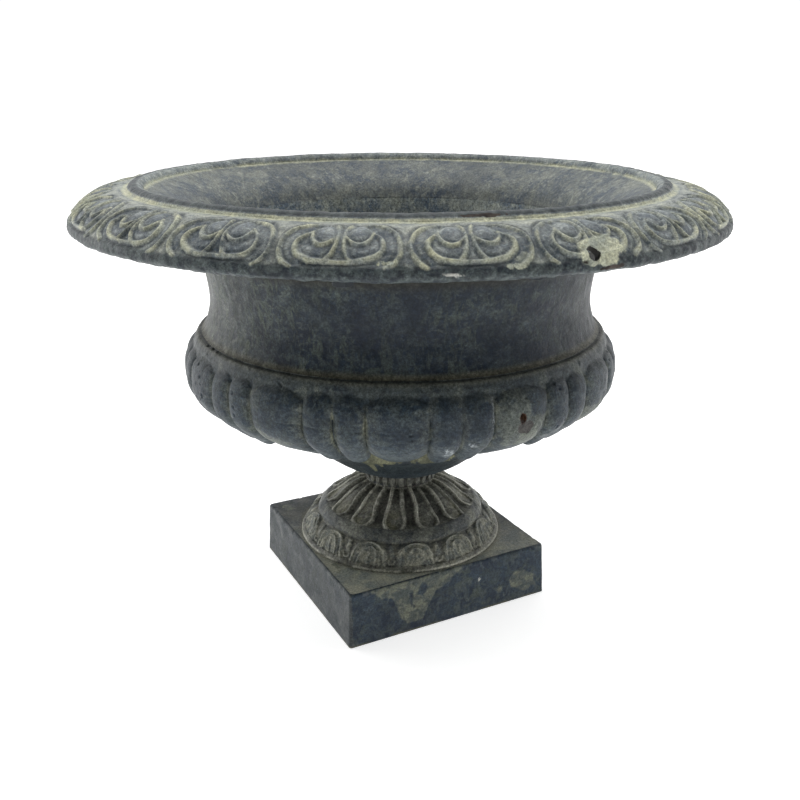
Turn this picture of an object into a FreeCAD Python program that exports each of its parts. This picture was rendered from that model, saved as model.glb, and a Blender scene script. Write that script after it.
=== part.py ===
import FreeCAD, Part
import math
import os

# Garden urn planter of cast iron, in separate castings that are bolted
# together: square plinth, fluted socle, lobed bowl, plain neck drum and a wide
# ornamented rim.  Millimetres, +Z up, origin on the floor at the urn's axis.

# ---------------------------------------------------------------- dimensions
# heights of the joints between the castings
PLINTH_TOP = 46.1          # socle stands on the plinth
STEM_JOINT = 95.0          # bowl stem stands on the socle
NECK_JOINT = 234.0         # neck drum stands on the bowl's shoulder
RIM_JOINT = 313.0          # rim sits on the neck's top flange

# square plinth, an open box with slightly leaning sides
PLINTH_HALF_BOTTOM = 92.6
PLINTH_HALF_TOP = 90.6
PLINTH_WALL = 6.0
PLINTH_CORNER_R = 2.6
PLINTH_EDGE_R = 1.5
REGISTER_R_OUT = 75.3      # raised ring that centres the socle
REGISTER_R_IN = 69.5
REGISTER_H = 3.0

# stem spigot of the bowl in the socle's socket
SPIGOT_R = 16.0
SPIGOT_LEN = 4.0
SOCKET_GAP = 0.4

# centre rod that clamps bowl, socle and plinth together (M12)
ROD_R = 6.0
ROD_HOLE_R = 6.7
ROD_BOTTOM = 19.0
ROD_TOP = 131.0
ROD_NUT_AF = 18.0
ROD_NUT_H = 10.8
ROD_WASHER_R = 14.0
ROD_WASHER_T = 2.5
CLAMP_PLATE_HALF = 25.0    # square plate under the plinth's top
CLAMP_PLATE_T = 5.0
BOWL_FLOOR = 114.0

# drain holes through the bowl's floor
DRAIN_COUNT = 3
DRAIN_R = 5.0
DRAIN_PCD_R = 41.0
DRAIN_START = 92.0

# bolts of the neck joint (M8), through pairs of inner lugs
NECK_BOLT_COUNT = 6
NECK_BOLT_PCD_R = 137.0
NECK_BOLT_START = 0.0
LUG_R = 11.0               # rounded inner end of a lug
LUG_T = 7.0
BOWL_SEAT_R = 150.0        # inner edge of the ring the neck stands on
NECK_FOOT_R = 148.4        # inner edge of the neck's foot

# bolts of the rim joint (M8), up through the neck's outer flange
RIM_BOLT_COUNT = 8
RIM_BOLT_PCD_R = 168.0
RIM_BOLT_START = 5.0
RIM_FLANGE_R = 178.0
RIM_FLANGE_T = 7.0
RIM_TAP_DEPTH = 9.2        # threaded blind hole in the rim's thick foot

BOLT_R = 4.0
BOLT_HOLE_R = 4.5
BOLT_HEAD_AF = 13.0
BOLT_HEAD_H = 5.3
NUT_H = 6.5
WASHER_R = 8.0
WASHER_T = 1.6

AXIS = FreeCAD.Vector(0, 0, 1)
ORIGIN = FreeCAD.Vector(0, 0, 0)


# ------------------------------------------------------------------- helpers
def turned(segments):
    """Solid of revolution from a closed half section.

    Each segment is a list of (r, z) points.  Two points make a straight edge,
    more points make a smooth curve.  A segment starts where the last ended.
    """
    edges = []
    for pts in segments:
        vs = [FreeCAD.Vector(r, 0, z) for r, z in pts]
        if len(vs) == 2:
            edges.append(Part.LineSegment(vs[0], vs[1]).toShape())
        else:
            curve = Part.BSplineCurve()
            curve.interpolate(vs)
            edges.append(curve.toShape())
    face = Part.Face(Part.Wire(edges))
    solid = face.revolve(ORIGIN, AXIS, 360)
    if solid.ShapeType != "Solid":
        solid = Part.Solid(solid.Shells[0])
    if solid.Volume < 0:
        solid.reverse()
    return solid


def straight(points):
    """Edges of a run of straight lines through the points."""
    return [[a, b] for a, b in zip(points[:-1], points[1:])]


def ring(r_in, r_out, z0, z1):
    outer = Part.makeCylinder(r_out, z1 - z0, FreeCAD.Vector(0, 0, z0))
    return outer.cut(Part.makeCylinder(r_in, z1 - z0, FreeCAD.Vector(0, 0, z0)))


def lug(angle_deg, r_out, z0):
    """Ear on the inside of a wall, round at its inner end, for one bolt."""
    ear = Part.makeBox(r_out - NECK_BOLT_PCD_R, 2 * LUG_R, LUG_T,
                       FreeCAD.Vector(NECK_BOLT_PCD_R, -LUG_R, z0))
    ear = ear.fuse(Part.makeCylinder(LUG_R, LUG_T, FreeCAD.Vector(NECK_BOLT_PCD_R, 0, z0)))
    ear.rotate(ORIGIN, AXIS, angle_deg)
    return ear


def polar(radius, angle_deg, z):
    a = math.radians(angle_deg)
    return FreeCAD.Vector(radius * math.cos(a), radius * math.sin(a), z)


def angles(count, start):
    return [start + 360.0 * i / count for i in range(count)]


def hexagon(af, height, centre, turn=0.0):
    r = af / 2.0 / math.cos(math.radians(30))
    pts = [centre + FreeCAD.Vector(r * math.cos(math.radians(turn + 60 * k)),
                                   r * math.sin(math.radians(turn + 60 * k)), 0)
           for k in range(7)]
    prism = Part.Face(Part.makePolygon(pts)).extrude(FreeCAD.Vector(0, 0, height))
    # corners taken off both ends of the hexagon
    cone_h = r * 2
    lower = Part.makeCone(af / 2.0 - 0.4 + 0.0, af / 2.0 - 0.4 + cone_h * 1.7,
                          cone_h, centre, AXIS)
    top = centre + FreeCAD.Vector(0, 0, height)
    upper = Part.makeCone(af / 2.0 - 0.4, af / 2.0 - 0.4 + cone_h * 1.7,
                          cone_h, top, FreeCAD.Vector(0, 0, -1))
    return prism.common(lower).common(upper)


def drilled(solid, radius, places, z0, z1):
    for p in places:
        hole = Part.makeCylinder(radius, z1 - z0, FreeCAD.Vector(p.x, p.y, z0))
        solid = solid.cut(hole)
    return solid


def square_loft(half0, z0, half1, z1):
    wires = []
    for half, z in ((half0, z0), (half1, z1)):
        c = [(-half, -half), (half, -half), (half, half), (-half, half), (-half, -half)]
        wires.append(Part.makePolygon([FreeCAD.Vector(x, y, z) for x, y in c]))
    return Part.makeLoft(wires, True, True)


def single(shape):
    return shape.Solids[0] if len(shape.Solids) == 1 else shape


parts = {}

# -------------------------------------------------------------------- plinth
block = square_loft(PLINTH_HALF_BOTTOM, 0.0, PLINTH_HALF_TOP, PLINTH_TOP)
corner_edges = [e for e in block.Edges
                if abs(e.Vertexes[0].Point.z - e.Vertexes[1].Point.z) > 1.0]
block = block.makeFillet(PLINTH_CORNER_R, corner_edges)
top_edges = [e for e in block.Edges
             if all(abs(v.Point.z - PLINTH_TOP) < 1e-4 for v in e.Vertexes)]
block = block.makeFillet(PLINTH_EDGE_R, top_edges)
lean = (PLINTH_HALF_BOTTOM - PLINTH_HALF_TOP) / PLINTH_TOP
hollow_top = PLINTH_TOP - PLINTH_WALL
hollow = square_loft(PLINTH_HALF_BOTTOM - PLINTH_WALL, -1.0,
                     PLINTH_HALF_BOTTOM - PLINTH_WALL - lean * (hollow_top + 1.0),
                     hollow_top)
plinth = block.cut(hollow)
plinth = plinth.fuse(ring(REGISTER_R_IN, REGISTER_R_OUT,
                          PLINTH_TOP, PLINTH_TOP + REGISTER_H))
plinth = plinth.cut(Part.makeCylinder(ROD_HOLE_R, 40.0,
                                      FreeCAD.Vector(0, 0, PLINTH_TOP - 20)))
parts["plinth"] = single(plinth.removeSplitter())

# --------------------------------------------------------------------- socle
# fluted flare, smooth torus, leaf-covered ovolo and base bead, all hollow
socle = turned([
    [(SPIGOT_R + SOCKET_GAP, STEM_JOINT), (30.0, STEM_JOINT)],
    [(30.0, STEM_JOINT), (36.2, 92.9), (43.0, 89.3), (48.0, 85.6), (52.4, 81.6),
     (57.0, 77.6), (62.6, 74.3)],
    [(62.6, 74.3), (66.4, 72.4), (69.4, 69.9), (70.4, 67.6), (69.5, 65.4)],
    [(69.5, 65.4), (73.8, 64.8)],
    [(73.8, 64.8), (77.6, 62.2), (80.6, 58.2), (82.6, 54.4), (84.4, 50.8)],
    [(84.4, 50.8), (86.8, 50.0), (87.6, 48.2), (87.3, PLINTH_TOP)],
    [(87.3, PLINTH_TOP), (78.2, PLINTH_TOP)],
] + straight([(78.2, PLINTH_TOP), (76.5, 51.0), (71.5, 58.0), (62.5, 64.0),
              (55.0, 70.0), (44.5, 77.4), (36.0, 81.4), (28.0, 83.6)]) + [
    [(28.0, 83.6), (ROD_HOLE_R, 83.6)],
    [(ROD_HOLE_R, 83.6), (ROD_HOLE_R, STEM_JOINT - SPIGOT_LEN - SOCKET_GAP)],
    [(ROD_HOLE_R, STEM_JOINT - SPIGOT_LEN - SOCKET_GAP),
     (SPIGOT_R + SOCKET_GAP, STEM_JOINT - SPIGOT_LEN - SOCKET_GAP)],
    [(SPIGOT_R + SOCKET_GAP, STEM_JOINT - SPIGOT_LEN - SOCKET_GAP),
     (SPIGOT_R + SOCKET_GAP, STEM_JOINT)],
])
parts["socle"] = socle

# ---------------------------------------------------------------------- bowl
# short stem, smooth cup, the swelling that carries the lobes, plain shoulder
bowl = turned([
    [(ROD_HOLE_R, STEM_JOINT - SPIGOT_LEN), (SPIGOT_R, STEM_JOINT - SPIGOT_LEN)],
    [(SPIGOT_R, STEM_JOINT - SPIGOT_LEN), (SPIGOT_R, STEM_JOINT)],
    [(SPIGOT_R, STEM_JOINT), (30.0, STEM_JOINT)],
    [(30.0, STEM_JOINT), (30.2, 100.0), (31.0, 104.2), (33.4, 106.8), (38.0, 108.4),
     (45.0, 110.4)],
    [(45.0, 110.4), (61.0, 120.0), (73.0, 129.6), (86.0, 139.4), (104.0, 149.6),
     (122.0, 158.6), (144.0, 169.4), (163.5, 180.2), (172.9, 190.0),
     (176.0, 199.0), (176.2, 205.0), (174.9, 215.4), (172.0, 221.1),
     (169.0, 225.0)],
    [(169.0, 225.0), (166.2, 229.2), (163.6, 232.6), (160.5, NECK_JOINT)],
    [(160.5, NECK_JOINT), (BOWL_SEAT_R, NECK_JOINT)],
] + straight([(BOWL_SEAT_R, NECK_JOINT), (BOWL_SEAT_R, 230.0), (160.5, 222.5), (167.0, 215.0),
              (170.2, 205.0), (169.6, 197.5), (163.5, 187.5), (141.0, 174.6),
              (101.0, 155.0), (69.4, 135.0), (43.0, 117.6), (30.0, BOWL_FLOOR)]) + [
    [(30.0, BOWL_FLOOR), (ROD_HOLE_R, BOWL_FLOOR)],
    [(ROD_HOLE_R, BOWL_FLOOR), (ROD_HOLE_R, STEM_JOINT - SPIGOT_LEN)],
])
neck_bolt_angles = angles(NECK_BOLT_COUNT, NECK_BOLT_START)
neck_bolt_places = [polar(NECK_BOLT_PCD_R, a, 0) for a in neck_bolt_angles]
bowl = bowl.fuse([lug(a, BOWL_SEAT_R + 4.0, NECK_JOINT - LUG_T)
                  for a in neck_bolt_angles]).removeSplitter()
bowl = drilled(bowl, BOLT_HOLE_R, neck_bolt_places,
               NECK_JOINT - LUG_T - 4, NECK_JOINT + 4)
drain_places = [polar(DRAIN_PCD_R, a, 0) for a in angles(DRAIN_COUNT, DRAIN_START)]
bowl = drilled(bowl, DRAIN_R, drain_places, 100.0, 130.0)
parts["gadrooned_bowl"] = single(bowl)

# ---------------------------------------------------------------------- neck
neck = turned([
    [(NECK_FOOT_R, NECK_JOINT), (156.4, NECK_JOINT)],
    [(156.4, NECK_JOINT), (155.7, 238.0), (154.5, 244.0), (153.0, 252.0),
     (152.2, 262.0), (153.1, 272.0), (154.6, 282.0), (156.2, 292.0), (158.4, 300.0),
     (161.6, RIM_JOINT - RIM_FLANGE_T)],
    [(161.6, RIM_JOINT - RIM_FLANGE_T), (RIM_FLANGE_R, RIM_JOINT - RIM_FLANGE_T)],
    [(RIM_FLANGE_R, RIM_JOINT - RIM_FLANGE_T), (RIM_FLANGE_R, RIM_JOINT)],
    [(RIM_FLANGE_R, RIM_JOINT), (153.0, RIM_JOINT)],
] + straight([(153.0, RIM_JOINT), (150.6, 303.0), (148.4, 288.0), (146.2, 264.0),
              (146.8, 252.0), (NECK_FOOT_R, NECK_JOINT + LUG_T), (NECK_FOOT_R, NECK_JOINT)]))
neck = neck.fuse([lug(a, NECK_FOOT_R + 3.0, NECK_JOINT)
                  for a in neck_bolt_angles]).removeSplitter()
neck = drilled(neck, BOLT_HOLE_R, neck_bolt_places, NECK_JOINT - 2,
               NECK_JOINT + LUG_T + 2)
rim_bolt_angles = angles(RIM_BOLT_COUNT, RIM_BOLT_START)
rim_bolt_places = [polar(RIM_BOLT_PCD_R, a, 0) for a in rim_bolt_angles]
neck = drilled(neck, BOLT_HOLE_R, rim_bolt_places, RIM_JOINT - RIM_FLANGE_T - 2,
               RIM_JOINT + 2)
parts["neck_drum"] = single(neck)

# ----------------------------------------------------------------------- rim
# flared throat, upstanding bead, domed ornament band and turned-down lip
rim = turned([
    [(RIM_FLANGE_R, RIM_JOINT), (153.0, RIM_JOINT)],
    [(153.0, RIM_JOINT), (156.8, 320.0), (162.4, 326.6), (170.0, 332.4),
     (179.0, 337.6), (187.0, 341.4), (194.2, 344.6)],
    [(194.2, 344.6), (195.4, 347.2), (197.8, 349.5), (200.6, 350.2),
     (203.6, 349.6), (205.8, 347.8), (207.6, 346.3)],
    [(207.6, 346.3), (215.0, 346.6), (224.0, 345.5), (232.0, 343.0),
     (239.0, 339.3), (245.0, 333.8), (248.5, 329.4), (250.0, 325.0),
     (249.0, 321.2), (246.2, 319.2)],
    [(246.2, 319.2), (242.6, 319.4)],
    [(242.6, 319.4), (243.8, 324.2), (241.6, 330.0), (235.8, 335.0),
     (229.0, 338.4), (221.0, 340.2), (208.0, 340.0), (198.0, 338.0),
     (188.6, 333.8), (182.0, 328.6), (RIM_FLANGE_R, 321.6)],
    [(RIM_FLANGE_R, 321.6), (RIM_FLANGE_R, RIM_JOINT)],
])
rim = drilled(rim, BOLT_R, rim_bolt_places, RIM_JOINT - 2, RIM_JOINT + RIM_TAP_DEPTH)
parts["rim"] = single(rim)

# ---------------------------------------------------- centre rod and its nuts
rod = Part.makeCylinder(ROD_R, ROD_TOP - ROD_BOTTOM, FreeCAD.Vector(0, 0, ROD_BOTTOM))
rod_ends = [e for e in rod.Edges if isinstance(e.Curve, Part.Circle)]
parts["tie_rod"] = single(rod.makeChamfer(1.0, rod_ends))

clamp_top = PLINTH_TOP - PLINTH_WALL
plate = Part.makeBox(2 * CLAMP_PLATE_HALF, 2 * CLAMP_PLATE_HALF, CLAMP_PLATE_T,
                     FreeCAD.Vector(-CLAMP_PLATE_HALF, -CLAMP_PLATE_HALF,
                                    clamp_top - CLAMP_PLATE_T))
parts["clamp_plate"] = single(plate.cut(Part.makeCylinder(
    ROD_HOLE_R, CLAMP_PLATE_T, FreeCAD.Vector(0, 0, clamp_top - CLAMP_PLATE_T))))

lower_washer_top = clamp_top - CLAMP_PLATE_T
rod_bore = Part.makeCylinder(ROD_R, 400.0, FreeCAD.Vector(0, 0, -100))
parts["rod_washer_upper"] = ring(ROD_HOLE_R, ROD_WASHER_R, BOWL_FLOOR,
                                 BOWL_FLOOR + ROD_WASHER_T)
parts["rod_nut_upper"] = single(hexagon(
    ROD_NUT_AF, ROD_NUT_H, FreeCAD.Vector(0, 0, BOWL_FLOOR + ROD_WASHER_T),
    11.0).cut(rod_bore))
parts["rod_washer_lower"] = ring(ROD_HOLE_R, ROD_WASHER_R,
                                 lower_washer_top - ROD_WASHER_T, lower_washer_top)
parts["rod_nut_lower"] = single(hexagon(
    ROD_NUT_AF, ROD_NUT_H,
    FreeCAD.Vector(0, 0, lower_washer_top - ROD_WASHER_T - ROD_NUT_H),
    23.0).cut(rod_bore))


# --------------------------------------------------------- bolts of the neck
def bolt(place, head_z, shank_end_z, head_up, turn):
    """Hex bolt: head_z is the bearing face under the head."""
    if head_up:
        head = hexagon(BOLT_HEAD_AF, BOLT_HEAD_H,
                       FreeCAD.Vector(place.x, place.y, head_z), turn)
        shank = Part.makeCylinder(BOLT_R, head_z - shank_end_z,
                                  FreeCAD.Vector(place.x, place.y, shank_end_z))
    else:
        head = hexagon(BOLT_HEAD_AF, BOLT_HEAD_H,
                       FreeCAD.Vector(place.x, place.y, head_z - BOLT_HEAD_H), turn)
        shank = Part.makeCylinder(BOLT_R, shank_end_z - head_z,
                                  FreeCAD.Vector(place.x, place.y, head_z))
    return single(head.fuse(shank))


def washer(place, z0):
    outer = Part.makeCylinder(WASHER_R, WASHER_T, FreeCAD.Vector(place.x, place.y, z0))
    return outer.cut(Part.makeCylinder(BOLT_HOLE_R, WASHER_T,
                                       FreeCAD.Vector(place.x, place.y, z0)))


neck_top = NECK_JOINT + LUG_T
neck_under = NECK_JOINT - LUG_T
nut_top = neck_under - WASHER_T
shank_end = nut_top - NUT_H - 4.0
bolts, nuts, uppers, lowers = [], [], [], []
for i, (p, a) in enumerate(zip(neck_bolt_places, neck_bolt_angles)):
    bolts.append(bolt(p, neck_top + WASHER_T, shank_end, True, a + 13.0 * i))
    uppers.append(washer(p, neck_top))
    lowers.append(washer(p, nut_top))
    nut = hexagon(BOLT_HEAD_AF, NUT_H, FreeCAD.Vector(p.x, p.y, nut_top - NUT_H),
                  a + 19.0 * i)
    nuts.append(single(nut.cut(Part.makeCylinder(
        BOLT_R, NUT_H, FreeCAD.Vector(p.x, p.y, nut_top - NUT_H)))))
parts["neck_bolts"] = Part.makeCompound(bolts)
parts["neck_bolt_washers"] = Part.makeCompound(uppers)
parts["neck_nut_washers"] = Part.makeCompound(lowers)
parts["neck_nuts"] = Part.makeCompound(nuts)

# ---------------------------------------------------------- bolts of the rim
rim_under = RIM_JOINT - RIM_FLANGE_T
rim_bolts, rim_washers = [], []
for i, (p, a) in enumerate(zip(rim_bolt_places, rim_bolt_angles)):
    rim_bolts.append(bolt(p, rim_under - WASHER_T, RIM_JOINT + RIM_TAP_DEPTH - 0.6,
                          False, a + 17.0 * i))
    rim_washers.append(washer(p, rim_under - WASHER_T))
parts["rim_bolts"] = Part.makeCompound(rim_bolts)
parts["rim_bolt_washers"] = Part.makeCompound(rim_washers)

# ------------------------------------------------------------------- hand-out
os.makedirs("parts", exist_ok=True)
for name, shape in parts.items():
    shape.exportStep("parts/%s.step" % name)
    print("%-20s solids %d  valid %s  volume %.1f cm3" % (
        name, len(shape.Solids), shape.isValid(), shape.Volume / 1000.0))
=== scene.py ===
import math

import bpy
import numpy as np
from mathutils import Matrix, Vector


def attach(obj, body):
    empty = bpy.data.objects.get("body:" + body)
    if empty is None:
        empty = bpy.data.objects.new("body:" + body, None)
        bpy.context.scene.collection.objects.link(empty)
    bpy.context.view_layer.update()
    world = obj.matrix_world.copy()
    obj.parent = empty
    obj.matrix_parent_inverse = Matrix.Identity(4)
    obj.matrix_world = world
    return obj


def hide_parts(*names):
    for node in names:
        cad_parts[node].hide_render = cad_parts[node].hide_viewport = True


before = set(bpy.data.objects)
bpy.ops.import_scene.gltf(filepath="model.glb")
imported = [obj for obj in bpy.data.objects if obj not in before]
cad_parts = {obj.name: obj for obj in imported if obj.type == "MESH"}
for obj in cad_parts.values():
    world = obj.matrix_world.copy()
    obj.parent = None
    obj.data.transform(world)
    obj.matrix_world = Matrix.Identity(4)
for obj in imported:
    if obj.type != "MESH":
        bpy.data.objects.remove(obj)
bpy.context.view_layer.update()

D2R = math.pi / 180.0
# the side of the urn that faces the viewer; feature angles are counted from it
FACING = -117.53 * D2R


# ------------------------------------------------------------------ small tools
def spline(pts, step):
    """Smooth curve through (a, b) points, sampled about every step."""
    p = np.array(pts, float)
    if len(p) == 2:
        n = max(1, int(round(np.hypot(*(p[1] - p[0])) / step)))
        t = np.linspace(0, 1, n + 1)[:, None]
        return p[0] * (1 - t) + p[1] * t
    t = np.concatenate([[0], np.cumsum(np.hypot(*np.diff(p, axis=0).T))])
    n = len(p)
    h = np.diff(t)
    out_t = np.linspace(0, t[-1], max(2, int(round(t[-1] / step)) + 1))
    cols = []
    for c in range(p.shape[1]):
        y = p[:, c]
        m = np.zeros((n, n))
        rhs = np.zeros(n)
        m[0, 0] = m[-1, -1] = 1
        for i in range(1, n - 1):
            m[i, i - 1], m[i, i], m[i, i + 1] = h[i - 1], 2 * (h[i - 1] + h[i]), h[i]
            rhs[i] = 6 * ((y[i + 1] - y[i]) / h[i] - (y[i] - y[i - 1]) / h[i - 1])
        k = np.linalg.solve(m, rhs)
        i = np.clip(np.searchsorted(t, out_t, side="right") - 1, 0, n - 2)
        a, b = t[i + 1] - out_t, out_t - t[i]
        cols.append((k[i] * a ** 3 + k[i + 1] * b ** 3) / (6 * h[i])
                    + (y[i] / h[i] - k[i] * h[i] / 6) * a
                    + (y[i + 1] / h[i] - k[i + 1] * h[i] / 6) * b)
    return np.stack(cols, -1)


def chain(segments, tight=0.3):
    """Closed half section from (points, step) runs that start where the last ended.

    A narrow row at both ends of a run keeps the corner between two runs crisp.
    Returns the points and the number of the run that each belongs to.
    """
    rows, tags = [], []
    for k, (pts, step) in enumerate(segments):
        q = spline(pts, step)
        d0, d1 = q[1] - q[0], q[-2] - q[-1]
        a = q[0] + d0 * min(0.4, tight / np.hypot(*d0))
        b = q[-1] + d1 * min(0.4, tight / np.hypot(*d1))
        run = np.concatenate([q[:1], a[None], q[1:-1], b[None]])
        rows.append(run)
        tags.append(np.full(len(run), k))
    return np.concatenate(rows), np.concatenate(tags)


def sstep(a, b, x):
    t = np.clip((x - a) / (b - a), 0, 1)
    return t * t * (3 - 2 * t)


def _hash(ix, iy, iz, seed):
    n = (ix * 374761393 + iy * 668265263 + iz * 2147483647 + seed * 1274126177) & 0xFFFFFFFF
    n = ((n ^ (n >> 13)) * 1274126177) & 0xFFFFFFFF
    n = ((n ^ (n >> 16)) * 2246822519) & 0xFFFFFFFF
    return ((n ^ (n >> 15)) & 0xFFFFFF) / float(0xFFFFFF)


def vnoise(x, y, z, seed=0):
    """Smooth value noise, 0 to 1, over a unit lattice."""
    fx, fy, fz = np.floor(x), np.floor(y), np.floor(z)
    ux, uy, uz = x - fx, y - fy, z - fz
    ux, uy, uz = (u * u * u * (u * (u * 6 - 15) + 10) for u in (ux, uy, uz))
    ix, iy, iz = fx.astype(np.int64), fy.astype(np.int64), fz.astype(np.int64)
    out = 0
    for dx in (0, 1):
        for dy in (0, 1):
            for dz in (0, 1):
                w = (ux if dx else 1 - ux) * (uy if dy else 1 - uy) * (uz if dz else 1 - uz)
                out = out + w * _hash(ix + dx, iy + dy, iz + dz, seed)
    return out


def fbm(x, y, z, seed=0, octaves=3):
    out, amp, tot = 0, 1.0, 0.0
    for o in range(octaves):
        out = out + amp * vnoise(x * 2 ** o, y * 2 ** o, z * 2 ** o, seed + 17 * o)
        tot += amp
        amp *= 0.5
    return out / tot


def wrap(a):
    return (a + math.pi) % (2 * math.pi) - math.pi


class Turned:
    """Grid of a turned casting: rows follow its closed section, columns go round."""

    def __init__(self, section, count):
        self.sec = np.asarray(section, float)
        m = len(self.sec)
        nxt, prv = np.roll(self.sec, -1, 0), np.roll(self.sec, 1, 0)
        a, b = self.sec - prv, nxt - self.sec
        la, lb = np.hypot(*a.T), np.hypot(*b.T)
        t = a / np.maximum(la, 1e-9)[:, None] + b / np.maximum(lb, 1e-9)[:, None]
        t /= np.maximum(np.hypot(*t.T), 1e-9)[:, None]
        self.nrm = np.stack([-t[:, 1], t[:, 0]], -1)
        self.s = np.concatenate([[0], np.cumsum(lb[:-1])])
        self.loop = lb.sum()
        self.th = np.arange(count) / count * 2 * math.pi - math.pi
        # angle from the facing side, positive to the viewer's right
        self.phi = wrap(self.th - FACING)
        self.PHI, self.S = np.meshgrid(self.phi, self.s, indexing="ij")
        self.TH = np.repeat(self.th[:, None], m, 1)
        self.R = np.repeat(self.sec[None, :, 0], count, 0)
        self.Z = np.repeat(self.sec[None, :, 1], count, 0)
        self.d = np.zeros_like(self.R)
        self.attrs = {}

    def n3(self, scale, seed, octaves=3, sx=1.0, sz=1.0):
        """Noise over the surface, scale in mm."""
        return fbm(self.R * np.cos(self.TH) / scale * sx + 31.7,
                   self.R * np.sin(self.TH) / scale * sx + 11.3,
                   self.Z / scale * sz + 57.1, seed, octaves)

    def build(self, name, uv_strips=3):
        r = self.R + self.d * self.nrm[None, :, 0]
        z = self.Z + self.d * self.nrm[None, :, 1]
        co = np.stack([r * np.cos(self.TH), r * np.sin(self.TH), z], -1) / 1000.0
        n, m = r.shape
        idx = np.arange(n * m).reshape(n, m)
        i1, j1 = np.roll(idx, -1, 0), np.roll(idx, -1, 1)
        ij = np.roll(i1, -1, 1)
        faces = np.stack([idx, j1, ij, i1], -1).reshape(-1, 4)
        me = make_mesh(name, co.reshape(-1, 3), faces)
        # flat map of the surface: the loop unrolled in strips
        u0 = np.arange(n)[:, None] / n * uv_strips
        strip = np.floor(u0 + 1e-9)
        fu = np.broadcast_to(u0 - strip, (n, m))
        du = uv_strips / n
        v = np.broadcast_to((self.s / self.loop)[None, :], (n, m))
        vn = np.broadcast_to((np.append(self.s[1:], self.loop) / self.loop)[None, :], (n, m))
        st = np.broadcast_to(strip, (n, m))
        pad = 0.012

        def pack(uu, vv):
            return np.stack([pad + (1 - 2 * pad) * uu,
                             0.955 * (st + pad + (1 - 2 * pad) * vv) / uv_strips], -1)
        uvs = np.stack([pack(fu, v), pack(fu, vn), pack(fu + du, vn), pack(fu + du, v)], 2)
        layer = me.uv_layers.new(name="OFBake")
        layer.data.foreach_set("uv", uvs.reshape(-1).astype(np.float32))
        for key, val in self.attrs.items():
            at = me.attributes.new(key, "FLOAT", "POINT")
            full = np.broadcast_to(np.clip(val, 0, 1), (n, m))
            at.data.foreach_set("value", full.reshape(-1).astype(np.float32))
        cyl = np.stack([np.cos(self.TH) * self.R.mean() / 1000, np.sin(self.TH) * self.R.mean() / 1000,
                        self.S / 1000], -1)
        at = me.attributes.new("cyl", "FLOAT_VECTOR", "POINT")
        at.data.foreach_set("vector", cyl.reshape(-1).astype(np.float32))
        return me


def make_mesh(name, verts, faces):
    me = bpy.data.meshes.new(name)
    k = faces.shape[1]
    me.vertices.add(len(verts))
    me.vertices.foreach_set("co", np.asarray(verts, np.float32).ravel())
    me.loops.add(faces.size)
    me.loops.foreach_set("vertex_index", faces.astype(np.int32).ravel())
    me.polygons.add(len(faces))
    me.polygons.foreach_set("loop_start", np.arange(0, faces.size, k, dtype=np.int32))
    me.polygons.foreach_set("loop_total", np.full(len(faces), k, np.int32))
    me.polygons.foreach_set("use_smooth", np.ones(len(faces), bool))
    me.update(calc_edges=True)
    me.validate()
    return me


def add_object(name, me):
    ob = bpy.data.objects.new(name, me)
    bpy.context.scene.collection.objects.link(ob)
    return ob


def combine(ob, bodies, operation):
    """Takes closed bodies out of the object, or joins them to it."""
    verts, faces, base = [], [], 0
    for v, f in bodies:
        verts.extend(v)
        faces.extend([[i + base for i in q] for q in f])
        base += len(v)
    cm = bpy.data.meshes.new("body")
    cm.from_pydata([tuple(v) for v in verts], [], faces)
    cm.update()
    co = add_object("body", cm)
    mod = ob.modifiers.new("combine", "BOOLEAN")
    mod.operation = operation
    mod.object = co
    mod.solver = "MANIFOLD"
    dg = bpy.context.evaluated_depsgraph_get()
    new = bpy.data.meshes.new_from_object(ob.evaluated_get(dg))
    ob.modifiers.clear()
    if len(new.polygons) > 100:
        old = ob.data
        ob.data = new
        new.name = old.name
        bpy.data.meshes.remove(old)
    bpy.data.objects.remove(co)
    bpy.data.meshes.remove(cm)
    spare_map(ob.data, operation == "DIFFERENCE")


def spare_map(me, cut=False):
    """Gives faces that came without a place on the map their own cells in its spare strip."""
    layer = me.uv_layers.get("OFBake")
    uv = np.zeros(len(me.loops) * 2, np.float32)
    layer.data.foreach_get("uv", uv)
    uv = uv.reshape(-1, 2)
    lost = []
    for p in me.polygons:
        sl = slice(p.loop_start, p.loop_start + p.loop_total)
        if np.abs(uv[sl]).max() < 1e-5:
            lost.append(sl)
    per_row = max(1, int(math.ceil(len(lost) / 4.0)))
    for i, sl in enumerate(lost):
        cx, cy = i % per_row, i // per_row
        k = sl.stop - sl.start
        a = np.arange(k) / k * 2 * math.pi
        uv[sl, 0] = 0.02 + 0.96 * (cx + 0.5 + 0.36 * np.cos(a)) / per_row
        uv[sl, 1] = 0.962 + 0.034 * (cy + 0.5 + 0.36 * np.sin(a)) / 4.0
    layer.data.foreach_set("uv", uv.ravel())
    if cut:
        raw = np.zeros(len(me.vertices), np.float32)
        loops = np.zeros(len(me.loops), np.int32)
        me.loops.foreach_get("vertex_index", loops)
        for sl in lost:
            raw[loops[sl]] = 1.0
        at = me.attributes.get("cut") or me.attributes.new("cut", "FLOAT", "POINT")
        at.data.foreach_set("value", raw)


def lug_body(angle, r_out, z0, z1, count=14):
    """Ear with a round inner end on the inside of a wall, in metres."""
    rad, pcd = 0.011, 0.137
    ring = [(r_out, -rad), (r_out, rad)]
    ring += [(pcd + rad * math.cos(a), rad * math.sin(a)) for a in np.linspace(math.pi / 2, 1.5 * math.pi, count)]
    c, s = math.cos(angle), math.sin(angle)
    k = len(ring)
    verts = [Vector((x * c - y * s, x * s + y * c, z)) for z in (z0, z1) for x, y in ring]
    faces = [[i, (i + 1) % k, k + (i + 1) % k, k + i] for i in range(k)]
    faces.append(list(range(k))[::-1])
    faces.append(list(range(k, 2 * k)))
    return verts, faces


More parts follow.
